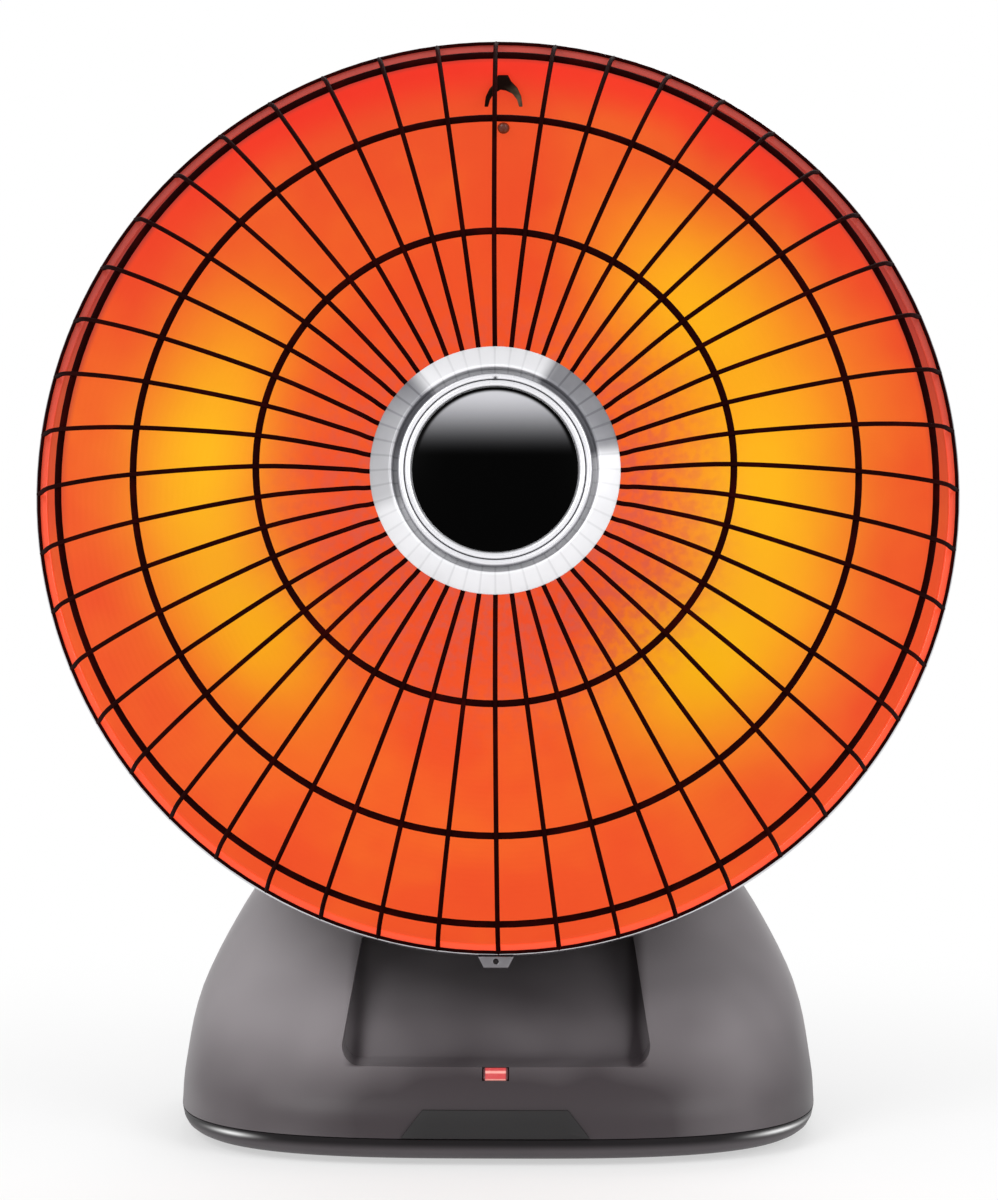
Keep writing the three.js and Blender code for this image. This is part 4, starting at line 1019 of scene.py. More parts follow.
def merged(*forms: bmesh.types.BMesh) -> bmesh.types.BMesh:
    """Puts several forms in one bmesh, without joining their walls.

    Args:
        forms: the forms, which are used up.

    Returns:
        The bmesh that holds them all.
    """
    whole = bmesh.new()
    for form in forms:
        mesh = bpy.data.meshes.new("part")
        form.to_mesh(mesh)
        form.free()
        whole.from_mesh(mesh)
        bpy.data.meshes.remove(mesh)
    return whole


class Join(str, Enum):
    """How a boolean joins two forms."""

    ADD = "UNION"
    CUT = "DIFFERENCE"
    KEEP = "INTERSECT"


def combined(form: bmesh.types.BMesh, tool: bmesh.types.BMesh, how: Join) -> bmesh.types.BMesh:
    """Joins a form with a tool by an exact boolean.

    Args:
        form: the form that stays.
        tool: the form that is added, cut away or kept in common.
        how: which of the three.

    Returns:
        The new form; both inputs are used up.
    """
    holders = []
    for part in (form, tool):
        mesh = bpy.data.meshes.new("part")
        part.to_mesh(mesh)
        part.free()
        holder = bpy.data.objects.new("part", mesh)
        bpy.context.scene.collection.objects.link(holder)
        holders.append(holder)
    modifier = holders[0].modifiers.new("join", "BOOLEAN")
    modifier.operation = how.value
    modifier.object = holders[1]
    modifier.solver = "EXACT"
    bpy.context.view_layer.update()
    evaluated = holders[0].evaluated_get(bpy.context.evaluated_depsgraph_get())
    result = bmesh.new()
    result.from_mesh(evaluated.to_mesh())
    evaluated.to_mesh_clear()
    for holder in holders:
        mesh = holder.data
        bpy.data.objects.remove(holder)
        bpy.data.meshes.remove(mesh)
    bmesh.ops.remove_doubles(result, verts=result.verts, dist=1e-4)
    return result


def softened(bm: bmesh.types.BMesh, width: float, sharp: float = 32.0,
             segments: int = 3) -> bmesh.types.BMesh:
    """Rounds the edges that are sharper than an angle in degrees.

    Args:
        bm: the form.
        width: the rounding's width.
        sharp: the least angle of a rounded edge.
        segments: the steps of the rounding.

    Returns:
        The same form.
    """
    limit = math.radians(sharp)
    edges = [edge for edge in bm.edges if edge.is_manifold and edge.calc_face_angle(0.0) > limit]
    bmesh.ops.bevel(bm, geom=edges, offset=width, affect="EDGES", segments=segments, profile=0.5,
                    material=-1, clamp_overlap=True)
    return bm


@dataclass
class Workshop:
    """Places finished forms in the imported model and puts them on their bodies."""

    pivot: Vector

    def __post_init__(self) -> None:
        """Works out the three frames from the tilt pivot."""
        scale = Matrix.Scale(MM, 4)
        self.tilt = Matrix.Translation(self.pivot) @ Matrix.Rotation(-REST_TILT, 4, "X") @ scale
        self.dish = self.tilt @ Matrix.Translation((0, -RIM_FORWARD, AXIS_RISE))
        floor = self.pivot - Vector((0, PIVOT_REARWARD, PIVOT_HEIGHT)) * MM
        self.base = Matrix.Translation(floor) @ scale

    def piece(self, name: str, bm: bmesh.types.BMesh, place: Matrix, finish: bpy.types.Material,
              body: Body, slot: str, stands_for: Iterable[str] = (),
              smooth: float = 35.0) -> bpy.types.Object:
        """Makes one piece of the heater.

        Args:
            name: the piece's name.
            bm: its form, in millimetres; it is used up.
            place: the frame that it was built in.
            finish: its material.
            body: the moving body that it rides on.
            slot: the record's material slot; not used.
            stands_for: the CAD nodes that it replaces.
            smooth: edges flatter than this, in degrees, are shaded smooth.

        Returns:
            The finished object.
        """
        bmesh.ops.transform(bm, matrix=place, verts=bm.verts)
        limit = math.radians(smooth)
        for face in bm.faces:
            face.smooth = True
        for edge in bm.edges:
            edge.smooth = edge.is_manifold and edge.calc_face_angle(0.0) < limit
        mesh = bpy.data.meshes.new(name)
        bm.to_mesh(mesh)
        bm.free()
        mesh.materials.append(finish)
        piece = bpy.data.objects.new(name, mesh)
        bpy.context.scene.collection.objects.link(piece)
        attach(piece, body.value)
        names = list(stands_for)
        if names:
            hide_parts(*names)
        log.info("%s: %d faces", name, len(mesh.polygons))
        return piece


# ---------------------------------------------------------------- the dish


@dataclass
class Bowl:
    """The reflector, the shell behind it and the band that clamps them."""

    shop: Workshop
    rim_radius: float = 207.0
    rim_wall: float = 1.2
    rim_depth: float = 9.0
    depth: float = 84.0
    lip: float = 4.5
    wall: float = 1.0
    air: float = 10.0
    seat_space: float = 5.0
    seat_radius: float = 80.0
    hole: float = 8.35
    slot_radius: float = 118.0
    slot_length: float = 34.0
    slot_width: float = 5.0
    slot_count: int = 14
    fitting_across: float = 2.0
    bracket_reach: float = 180.5
    bracket_outline: tuple[Pair, ...] = (
        (-8.6, 0), (-6.9, 0), (-6.1, 3.2), (-4.4, 6.4), (-1.2, 8.4), (1.2, 8.0),
        (4.2, 6.4), (6.3, 3.4), (7.2, 0), (8.8, 0), (8.2, 4.6), (6.4, 8.8),
        (3.6, 12.0), (2.2, 15.0), (-2.4, 15.0), (-3.4, 11.6), (-6.2, 8.4), (-8.0, 4.4))
    screw_reach: float = 172.0
    screw_head: tuple[Station, ...] = (
        (0, 2.0), (1.5, 1.9), (2.4, 1.2), (2.8, 0.2), (2.8, 0), (0, 0))
    clip_outline: tuple[Pair, ...] = ((-8, 0), (-5.4, -5), (5.4, -5), (8, 0))

    def __post_init__(self) -> None:
        """Derives the levels that other classes use."""
        self.lip_radius = self.rim_radius - self.rim_wall - SEAT_GAP
        self.aperture = self.lip_radius - self.lip
        self.lip_forward = -self.rim_wall - SEAT_GAP
        self.seat_forward = self.front(0) - self.wall - self.seat_space
        self.seat_back = self.seat_forward - self.wall

    def front(self, radius: float) -> float:
        """The bowl's reflecting face at a radius."""
        return self.lip_forward - self.depth * (1 - (radius / self.aperture) ** 2)

    def slope(self, radius: float) -> float:
        """The bowl's lean at a radius, in radians."""
        return math.atan(2 * self.depth * radius / self.aperture ** 2)

    def shell(self, radius: float) -> float:
        """The rear shell's outer face at a radius."""
        share = min(radius / self.aperture, 1.0)
        return self.front(radius) - self.wall - self.air * math.sqrt(1 - share ** 8)

    def make_reflector(self, finish: bpy.types.Material) -> None:
        """The spun reflector with its flat lip.

        Args:
            finish: its material.
        """
        count = 36
        radii = [self.hole + (self.aperture - self.hole) * i / count for i in range(count + 1)]
        face = [(r, self.front(r)) for r in radii]
        back = [(r, f - self.wall) for r, f in reversed(face)]
        lip = [(self.lip_radius, self.lip_forward), (self.lip_radius, self.lip_forward - self.wall)]
        form = lathe([*face, *lip, *back], 128)
        self.shop.piece("bowl_reflector", form, self.shop.dish, finish, Body.DISH,
                        "reflector_metal", ["reflector"])

    def make_band(self, finish: bpy.types.Material) -> None:
        """The rolled rim band.

        Args:
            finish: its material.
        """
        roll = self.rim_wall
        outer = self.rim_radius
        inner = self.lip_radius - self.lip + 1
        corner = arc((outer - roll, -roll), roll, 90, 0, 6)
        hem = arc((outer - roll / 2, -self.rim_depth + roll / 2), roll / 2, 0, -180, 6)
        lip = arc((inner + roll / 2, -roll / 2), roll / 2, 180, 90, 4)
        profile = [(inner, -roll), *lip, *corner, *hem, (outer - roll, -roll)]
        form = lathe(profile, 160)
        self.shop.piece("rolled_rim", form, self.shop.dish, finish, Body.DISH, "bright_trim",
                        ["rim_band"])

    def make_shell(self, finish: bpy.types.Material) -> None:
        """The rear shell with its ring of cooling slots.

        Args:
            finish: its material.
        """
        lip_front = self.lip_forward - self.wall - SEAT_GAP
        count = 26
        start = self.seat_radius + 6
        radii = [start + (self.aperture - 1 - start) * i / count for i in range(count + 1)]
        back = [(r, self.shell(r)) for r in radii]
        outside = [(self.hole, self.seat_back), (self.seat_radius, self.seat_back), *back,
                   (self.lip_radius, lip_front - self.wall)]
        inside = [(r, f + self.wall) for r, f in reversed(outside)]
        form = lathe([*outside, *inside], 112)
        cutter = block(self.slot_length, 60, self.slot_width,
                       (self.slot_radius, -self.shell(self.slot_radius), 0))
        tall = [edge for edge in cutter.edges if abs(edge.verts[0].co.y - edge.verts[1].co.y) > 1]
        bmesh.ops.bevel(cutter, geom=tall, offset=2.4, affect="EDGES", segments=4, profile=0.5,
                        material=-1)
        turn_copies(cutter, self.slot_count, math.pi / self.slot_count)
        form = combined(form, cutter, Join.CUT)
        self.shop.piece("rear_pan", form, self.shop.dish, finish, Body.DISH, "shell_paint",
                        ["rear_shell"])

    def on_bowl(self, reach: float, lift: float) -> Matrix:
        """A place on the bowl's upper slope, lifted off its face.

        Args:
            reach: the place's height above the dish axis.
            lift: how far it stands in front of the face.

        Returns:
            The place, in the dish frame.
        """
        spot = (self.fitting_across, -self.front(reach) - lift, reach)
        return Matrix.Translation(spot) @ Matrix.Rotation(self.slope(reach), 4, "X")

    def make_fittings(self, steel: bpy.types.Material, dark: bpy.types.Material) -> None:
        """The small bracket and screw in the bowl's upper part.

        Args:
            steel: the screw's material.
            dark: the bracket's material.
        """
        bracket = prism([Vector((x, 1.0, z)) for x, z in self.bracket_outline],
                        Vector((0, -2.0, 0)))
        self.shop.piece("top_bracket", softened(bracket, 0.25, 50.0),
                        self.shop.dish @ self.on_bowl(self.bracket_reach, 2.6), dark, Body.DISH,
                        "shell_paint", ["sensor_bracket"])
        self.shop.piece("bowl_screw", lathe(self.screw_head, 32),
                        self.shop.dish @ self.on_bowl(self.screw_reach, 1.5), steel, Body.DISH,
                        "steel", ["sensor_screw"])

    def make_clip(self, finish: bpy.types.Material) -> None:
        """The bright clip that closes the band below the rim.

        Args:
            finish: its material.
        """
        depth = Vector((0, self.rim_depth - 0.4, 0))
        form = prism([Vector((x, -0.2, z)) for x, z in self.clip_outline], depth)
        form = combined(form, rod(1.2, Vector((0, -20, -2.2)), Vector((0, 20, -2.2)), 20), Join.CUT)
        form = softened(form, 0.3)
        place = self.shop.dish @ Matrix.Translation((0, 0, -self.rim_radius - SEAT_GAP))
        self.shop.piece("band_clip", form, place, finish, Body.DISH, "steel", ["rim_clip"])


@dataclass
class Guard:
    """The domed guard: radial wires welded over three hoops and the wire at the rim."""

    shop: Workshop
    wire_count: int = 48
    wire: float = 2.1
    hoop_wire: float = 3.1
    clocking: float = math.radians(0.3)
    rim_hoop: Station = (205.6, 1.3)
    rim_wire: float = 1.6
    hoops: tuple[Station, ...] = ((195.0, 26.0), (158.56, 59.0), (103.5, 81.0))
    hub_end: tuple[Station, ...] = ((66.0, 72.0), (56.5, 65.6), (47.0, 64.4))
    wire_rise: float = 0.2
    hoop_drop: float = 1.5

    def make(self, paint: bpy.types.Material) -> None:
        """Builds the guard as one welded piece.

        Args:
            paint: its material.
        """
        knots = [self.rim_hoop, *self.hoops, *self.hub_end]
        points = catmull([Vector((radius, -forward, 0)) for radius, forward in knots], 5)
        lifted = [point - Vector((0, self.wire_rise if i else 0, 0))
                  for i, point in enumerate(points)]
        wire = sweep(lifted, self.wire / 2, 8, Vector((0, 0, 1)))
        turn_copies(wire, self.wire_count, self.clocking)
        rings = [ring_wire(radius - self.hoop_drop * 0.4, forward - self.hoop_drop, self.hoop_wire)
                 for radius, forward in self.hoops]
        rim = ring_wire(*self.rim_hoop, self.rim_wire)
        form = merged(wire, *rings, rim)
        self.shop.piece("wire_guard", form, self.shop.dish, paint, Body.DISH, "guard_paint",
                        ["grille"], 50)


@dataclass
class Hub:
    """The hub: flange, two-bead bezel and black disc."""

    shop: Workshop
    seat: float = 65.8
    flange_radius: float = 54.4
    flange_inner: float = 45.5
    flange_wall: float = 1.0
    flange_rise: float = 3.2
    wire_top: float = 66.7
    bezel_outer: float = 42.4
    bezel_inner: float = 36.3
    bezel_height: float = 3.6
    disc_thickness: float = 1.6

    def make_flange(self, finish: bpy.types.Material) -> None:
        """The polished dished flange over the wires' ends.

        Args:
            finish: its material.
        """
        top = self.wire_top + self.flange_rise
        wall = self.flange_wall
        inner = self.flange_inner
        crown = arc((inner + 0.2, top), wall, 150, 40, 6)
        edge = arc((self.flange_radius - wall / 2, self.wire_top + wall / 2), wall / 2, 60, -90, 5)
        form = lathe([(2.35, self.seat), (2.35, self.seat + wall), (inner - 1.4, self.seat + wall),
                      *crown, *edge, (inner + 0.9, top - 0.4), (inner + 0.3, self.seat)], 128)
        self.shop.piece("hub_skirt", form, self.shop.dish, finish, Body.DISH, "bright_trim",
                        ["hub_flange"])

    def make_bezel(self, finish: bpy.types.Material) -> None:
        """The bezel with two rounded beads.

        Args:
            finish: its material.
        """
        seat = self.seat + self.flange_wall + SEAT_GAP
        crest = seat + self.bezel_height
        middle = (self.bezel_outer + self.bezel_inner) / 2
        bead = (self.bezel_outer - self.bezel_inner) / 4
        outer = arc((middle + bead, crest - bead), bead * 0.98, 0, 180, 10)
        inner = arc((middle - bead, crest - bead), bead * 0.98, 0, 180, 10)
        ledge = crest - self.disc_thickness - 0.6
        form = lathe([(self.bezel_outer, seat), *outer, (middle, crest - bead * 1.1), *inner,
                      (self.bezel_inner, ledge), (self.bezel_inner - 3, ledge),
                      (self.bezel_inner - 3, seat)], 128)
        self.shop.piece("hub_trim", form, self.shop.dish, finish, Body.DISH, "bright_trim",
                        ["hub_bezel"])

    def make_disc(self, finish: bpy.types.Material) -> None:
        """The plain black disc.

        Args:
            finish: its material.
        """
        crest = self.seat + self.flange_wall + SEAT_GAP + self.bezel_height
        back = crest - self.disc_thickness - 0.6 + SEAT_GAP
        radius = self.bezel_inner - SEAT_GAP
        face = back + self.disc_thickness
        form = lathe([(0, back), (radius, back), (radius, face - 0.5),
                      *arc((radius - 0.5, face - 0.5), 0.5, 0, 80, 4),
                      (radius * 0.5, face + 0.35), (0, face + 0.45)], 96)
        self.shop.piece("hub_cap", form, self.shop.dish, finish, Body.DISH, "disc_gloss",
                        ["hub_disc"])


@dataclass
class Element:
    """The ceramic former and its glowing winding."""

    shop: Workshop
    turns: int = 12
    pitch: float = 3.6
    wire: float = 2.4
    rear_radius: float = 21.0
    front_radius: float = 17.0
    flange: float = 4.0
    flange_thickness: float = 3.5
    front: float = 54.0
    spigot_radius: float = 5.35
    spigot_length: float = 23.0

    def __post_init__(self) -> None:
        """Derives the former's length."""
        self.length = self.turns * self.pitch + self.wire + 2 * self.flange_thickness + 2
        self.rear = self.front - self.length

    def radius(self, forward: float) -> float:
        """The tapered former's radius."""
        share = (forward - self.rear) / self.length
        return self.rear_radius + (self.front_radius - self.rear_radius) * share

    def make_former(self, finish: bpy.types.Material) -> None:
        """The ceramic bobbin.

        Args:
            finish: its material.
        """
        rear = self.rear + self.flange_thickness
        front = self.front - self.flange_thickness
        big, small = self.radius(rear) + self.flange, self.radius(front) + self.flange
        form = lathe([(0, self.rear + self.spigot_length),
                      (self.spigot_radius, self.rear + self.spigot_length),
                      (self.spigot_radius, self.rear), *arc((big - 1, self.rear + 1), 1, -90, 0, 4),
                      *arc((big - 1, rear - 1), 1, 0, 90, 4), (self.radius(rear), rear),
                      (self.radius(front), front),
                      *arc((small - 1, front + 1), 1, -90, 0, 4),
                      *arc((small - 1, self.front - 1), 1, 0, 90, 4),
                      (0, self.front)], 64)
        self.shop.piece("ceramic_bobbin", form, self.shop.dish, finish, Body.DISH, "ceramic",
                        ["element_former"])

    def make_winding(self, finish: bpy.types.Material) -> None:
        """One unbroken winding from the rear flange to the front one.

        Args:
            finish: its material.
        """
        per_turn = 28
        start = self.rear + self.flange_thickness + 1 + self.wire / 2
        steps = self.turns * per_turn
        points = []
        for i in range(steps + 1):
            angle = math.tau * i / per_turn
            forward = start + self.turns * self.pitch * i / steps
            reach = self.radius(forward) + SEAT_GAP + self.wire / 2
            points.append(Vector((reach * math.cos(angle), -forward, reach * math.sin(angle))))
        form = sweep(points, self.wire / 2, 10, Vector((0, 1, 0)))
        self.shop.piece("hot_winding", form, self.shop.dish, finish, Body.DISH, "hot_coil",
                        ["heater_coil"])


@dataclass
class RearGroup:
    """The terminal pod with its neck, the vented cover and the carrying handle."""

    shop: Workshop
    bowl: Bowl
    pod_radius: float = 74.0
    pod_depth: float = 27.0
    pod_wall: float = 3.0
    crown: float = 11.0
    neck_half: float = 56.0
    boss: float = 19.0
    pin_bore: float = 6.35
    pin_bore_start: float = 45.6
    handle_span: float = 120.0
    handle_rise: float = 42.0
    handle_radius: float = 9.0
    handle_height: float = 128.0
    slot_count: int = 5
    slot_spacing: float = 14.0
    screw_circle: float = 60.0
    screw_head: float = 3.4

    def __post_init__(self) -> None:
        """Derives the cover's place."""
        self.cover_start = self.bowl.seat_back - 2 * SEAT_GAP - self.pod_depth
        self.cover_edge = self.pod_radius - 2

    def crown_at(self, radius: float) -> float:
        """The cover's outer face at a radius."""
        share = max(1 - (radius / self.cover_edge) ** 2.4, 0)
        return self.cover_start - self.crown * math.sqrt(share) - 2

    def make_pod(self, finish: bpy.types.Material) -> None:
        """The round pod and the neck that reaches the pivot.

        Args:
            finish: its material.
        """
        front = self.bowl.seat_back - SEAT_GAP
        back = front - self.pod_depth
        lift = Matrix.Translation((0, -RIM_FORWARD, AXIS_RISE))
        rim = 1.6
        can = lathe([(0, front), *arc((self.pod_radius - rim, front - rim), rim, 90, 0, 4),
                     *arc((self.pod_radius - 2 - rim, back + rim), rim, 0, -90, 4), (0, back)], 96)
        bmesh.ops.transform(can, matrix=lift, verts=can.verts)
        neck_top = AXIS_RISE - self.pod_radius + 12
        pod_front = RIM_FORWARD + front - 1
        side = [(18.0, 6), (17, 16), (13, 32), (pod_front, AXIS_RISE - self.bowl.seat_radius - 4),
                (pod_front, neck_top), (pod_front - 23.8, neck_top), (-21.1, 10), (-18.0, -6),
                (-8, -17.5), (8, -17.5)]
        neck = prism([Vector((-self.neck_half, -forward, height)) for forward, height in side],
                     Vector((2 * self.neck_half, 0, 0)))
        for vert in neck.verts:
            if vert.co.z > neck_top - 1:
                vert.co.x = math.copysign(41, vert.co.x)
        neck = softened(neck, 3.0, 25.0, 4)
        boss = rod(self.boss, Vector((-self.neck_half, 0, 0)), Vector((self.neck_half, 0, 0)), 64)
        form = combined(combined(can, neck, Join.ADD), softened(boss, 1.5, 60.0), Join.ADD)
        hollow = lathe([(0, front + 1), (self.pod_radius - self.pod_wall, front + 1),
                        (self.pod_radius - 2 - self.pod_wall, back - 1), (0, back - 1)], 96)
        bmesh.ops.transform(hollow, matrix=lift, verts=hollow.verts)
        form = combined(form, hollow, Join.CUT)
        start, end = self.pin_bore_start, self.neck_half + 4
        bores = merged(*[rod(self.pin_bore, Vector((sign * start, 0, 0)),
                             Vector((sign * end, 0, 0)), 48) for sign in (-1, 1)])
        form = combined(form, bores, Join.CUT)
        self.shop.piece("pod_and_neck", form, self.shop.tilt, finish, Body.DISH, "black_plastic",
                        ["pod_housing"])

    def make_cover(self, finish: bpy.types.Material) -> None:
        """The crowned pod cover with its cooling slots.

        Args:
            finish: its material.
        """
        start, edge = self.cover_start, self.cover_edge
        wall = 2.5
        outer = [edge * math.sin(math.pi / 2 * i / 16) * 0.992 for i in range(17)]
        outside = [(r, self.crown_at(r)) for r in outer]
        inner = [(edge - wall) * i / 12 for i in range(13)]
        inside = [(r, min(self.crown_at(r) + wall, start)) for r in inner]
        form = lathe([*outside, (edge, start - 2), (edge, start), (edge - wall, start),
                      *reversed(inside[:-1])], 96)
        cuts = []
        for i in range(self.slot_count):
            height = (i - (self.slot_count - 1) / 2) * self.slot_spacing
            width = 2 * math.sqrt((edge - 22) ** 2 - height ** 2)
            slot = block(width, 60, 4, (0, -start, height))
            ends = [e for e in slot.edges if abs(e.verts[0].co.y - e.verts[1].co.y) > 1]
            bmesh.ops.bevel(slot, geom=ends, offset=1.9, affect="EDGES", segments=4, profile=0.5,
                            material=-1)
            cuts.append(slot)
        form = combined(form, merged(*cuts), Join.CUT)
        self.shop.piece("pod_lid", form, self.shop.dish, finish, Body.DISH, "black_plastic",
                        ["pod_cover"])

    def make_cover_screws(self, finish: bpy.types.Material) -> None:
        """The three pan-head screws near the cover's edge.

        Args:
            finish: its material.
        """
        foot = self.crown_at(self.screw_circle + self.screw_head)
        top = self.crown_at(self.screw_circle - self.screw_head) - 0.7
        head = self.screw_head
        form = lathe([(0, foot), (head, foot), (head, top + 0.9), (head - 0.5, top + 0.3),
                      (head - 1.4, top), (0, top)], 32)
        for width, height in ((3.6, 0.9), (0.9, 3.6)):
            form = combined(form, block(width, 3, height, (0, -top, 0)), Join.CUT)
        bmesh.ops.translate(form, vec=(0, 0, self.screw_circle), verts=form.verts)
        turn_copies(form, 3)
        self.shop.piece("cover_screws", form, self.shop.dish, finish, Body.DISH, "steel")

    def make_handle(self, finish: bpy.types.Material) -> None:
        """The bow handle across the top of the shell.

        Args:
            finish: its material.
        """
        reach = self.handle_span / 2
        bend = 16.0
        root = self.bowl.shell(math.hypot(reach, self.handle_height))
        height = self.handle_height

        def half(sign: float) -> list[Vector]:
            """One leg and bend, from the foot up.

            Args:
                sign: -1 for the left side and 1 for the right.

            Returns:
                The points of its middle line.
            """
            leg = [Vector((sign * reach, -root - 12, height))]
            rise = -root + self.handle_rise
            corner = [Vector((sign * (reach - bend + bend * math.cos(a)),
                              rise - bend + bend * math.sin(a), height))
                      for a in [math.radians(90 * i / 8) for i in range(9)]]
            return [*leg, Vector((sign * reach, -root + 6, height)), *corner]

        path = [*half(-1), Vector((0, -root + self.handle_rise + 1.5, height)), *reversed(half(1))]
        form = sweep(path, self.handle_radius, 32, Vector((0, 0, 1)))
        clearance = 0.4
        count = 14
        edge = self.bowl.aperture
        stations = [edge - (edge - 86) * i / count for i in range(count + 1)]
        rim = [(r, self.bowl.shell(r) - clearance) for r in stations]
        space = lathe([(0, 20), (self.bowl.aperture, 20), *rim, (0, self.bowl.seat_back)], 112)
        form = softened(combined(form, space, Join.CUT), 0.8, 50.0)
        self.shop.piece("bow_handle", form, self.shop.dish, finish, Body.DISH, "black_plastic",
                        ["handle"])


# ---------------------------------------------------------------- the base


@dataclass
class Base:
    """The bell-shaped housing with its recess, the tray, the plate, the lens and the feet."""

    shop: Workshop
    wall: float = 3.0
    parting: float = 13.0
    rear_flat: float = 106.0
    squareness: float = 3.1
    recess_half: float = 68.5
    recess_bottom: float = 42.0
    recess_forward: float = 76.0
    recess_corner: float = 8.0
    slot_half: float = 60.0
    slot_floor: float = 100.0
    slot_rear: float = 62.0
    pin_radius: float = 6.35
    knob_spot: Pair = (-50.0, 58.0)
    rocker_spot: Pair = (50.0, 58.0)
    gland_height: float = 30.0
    lens_height: float = 39.5
    plunger_spot: Pair = (40.0, -30.0)
    knob_bore: float = 3.35
    gland_bore: float = 6.35
    plunger_bore: float = 4.35
    rocker_hole: Pair = (17.6, 28.6)
    lens_hole: Pair = (11.9, 6.9)
    lens_size: Triple = (11.2, 6.6, 6.2)
    plate_top: float = 25.5
    plate_halves: Pair = (41.5, 32.0)
    tray_bottom: float = 2.5
    foot_radius: float = 10.0
    foot_round: float = 0.8
    foot_height: float = 2.2
    foot_spots: tuple[Pair, ...] = ((-96, -62), (96, -62), (-102, 70), (102, 70))
    # height, half width, front, rear
    levels: tuple[tuple[float, float, float, float], ...] = (
        (13, 145, 113, 115), (30, 143.6, 107, 116), (60, 137.5, 80, 116), (93, 120.4, 39, 111),
        (125, 99, 14, 94), (150, 89, 3, 80), (161, 84, -1, 74), (165, 79, -7, 68))

    def section(self, at: Vector, rear: float, grow: float, count: int) -> list[Vector]:
        """One plan outline.

        Args:
            at: half width, front and height of the outline.
            rear: its rear distance.
            grow: how far it is grown outwards.
            count: how many corners it gets.

        Returns:
            The corners, in the base frame.
        """
        half, depth = at.x + grow, (at.y + rear) / 2 + grow
        middle = (rear - at.y) / 2
        power = 2 / self.squareness
        corners = []
        for i in range(count):
            angle = math.tau * (i + 0.5) / count
            c, s = math.cos(angle), math.sin(angle)
            x = half * math.copysign(abs(c) ** power, c)
            corners.append(Vector((x, middle + depth * math.copysign(abs(s) ** power, s), at.z)))
        return corners

    def bell(self, grow: float, lowest: float, top: float, per_span: int = 5,
             count: int = 112) -> bmesh.types.BMesh:
        """The closed bell form, grown outwards and ending at the given heights.

        Args:
            grow: how far it is grown outwards.
            lowest: the height of its flat bottom.
            top: the height of its flat top.
            per_span: the steps between two levels.
            count: how many corners each outline gets.

        Returns:
            The closed form.
        """
        fronts = catmull([Vector((half, front, height)) for height, half, front, _ in self.levels],
                         per_span)
        rears = catmull([Vector((rear, 0, 0)) for *_, rear in self.levels], per_span)
        lift = top - self.levels[-1][0]
        steps = len(fronts) - 1
        rings = [self.section(Vector((f.x, f.y, f.z + lift * i / steps)), r.x, grow, count)
                 for i, (f, r) in enumerate(zip(fronts, rears))]
        foot = [Vector((p.x, p.y, lowest)) for p in rings[0]]
        return self.skin([foot, *rings])

    @staticmethod
    def skin(rings: Sequence[Sequence[Vector]]) -> bmesh.types.BMesh:
        """A closed skin through outlines of equal count, by extruding the first one upwards.

        Args:
            rings: the outlines, from the lowest up.

        Returns:
            The closed form.
        """
        bm = bmesh.new()
        bmesh.ops.create_circle(bm, radius=1.0, segments=len(rings[0]))
        bm.verts.ensure_lookup_table()
        ring = list(bm.verts)
        for vert, corner in zip(ring, rings[0]):
            vert.co = corner
        edges = list(bm.edges)
        bmesh.ops.contextual_create(bm, geom=edges)
        for outline in rings[1:]:
            made = bmesh.ops.extrude_edge_only(bm, edges=edges)["geom"]
            edges = [part for part in made if isinstance(part, bmesh.types.BMEdge)]
            following = {vert for edge in edges for vert in edge.verts}
            ring = [next(edge.other_vert(vert) for edge in vert.link_edges
                         if edge.other_vert(vert) in following) for vert in ring]
            for vert, corner in zip(ring, outline):
                vert.co = corner
        bmesh.ops.contextual_create(bm, geom=edges)
        bmesh.ops.recalc_face_normals(bm, faces=bm.faces)
        return bm

    def recess(self, grow: float) -> bmesh.types.BMesh:
        """The space of the front recess and of the slot between the shoulders.

        Args:
            grow: how far it is grown.

        Returns:
            The closed form.
        """
        half, slot = self.recess_half + grow, self.slot_half + grow
        low, high = self.recess_bottom - grow, 260.0
        corner = self.recess_corner + grow
        bends = 6

        def fillet(sign: float) -> list[Pair]:
            """A rounded lower corner, from the side to the floor.

            Args:
                sign: -1 for the left side and 1 for the right.

            Returns:
                Its points, across and up.
            """
            return [(sign * (half - corner + corner * math.cos(a)),
                     low + corner - corner * math.sin(a))
                    for a in [math.pi / 2 * i / bends for i in range(bends + 1)]]

        right = [(slot, high), (slot, self.slot_floor), *fillet(1)]
        left = [(-x, z) for x, z in reversed(right)]
        front = prism([Vector((x, -200, z)) for x, z in [*right, *left]], Vector((0, 400, 0)))
        rear = -self.slot_rear - grow
        floor = self.slot_floor - grow
        side = [(160, low), (self.recess_forward - grow, low), (-grow, floor), (rear, floor),
                (rear, high), (160, high)]
        across = self.recess_half + 20
        profile = prism([Vector((-across, -forward, z)) for forward, z in side],
                        Vector((2 * across, 0, 0)))
        return combined(front, profile, Join.KEEP)

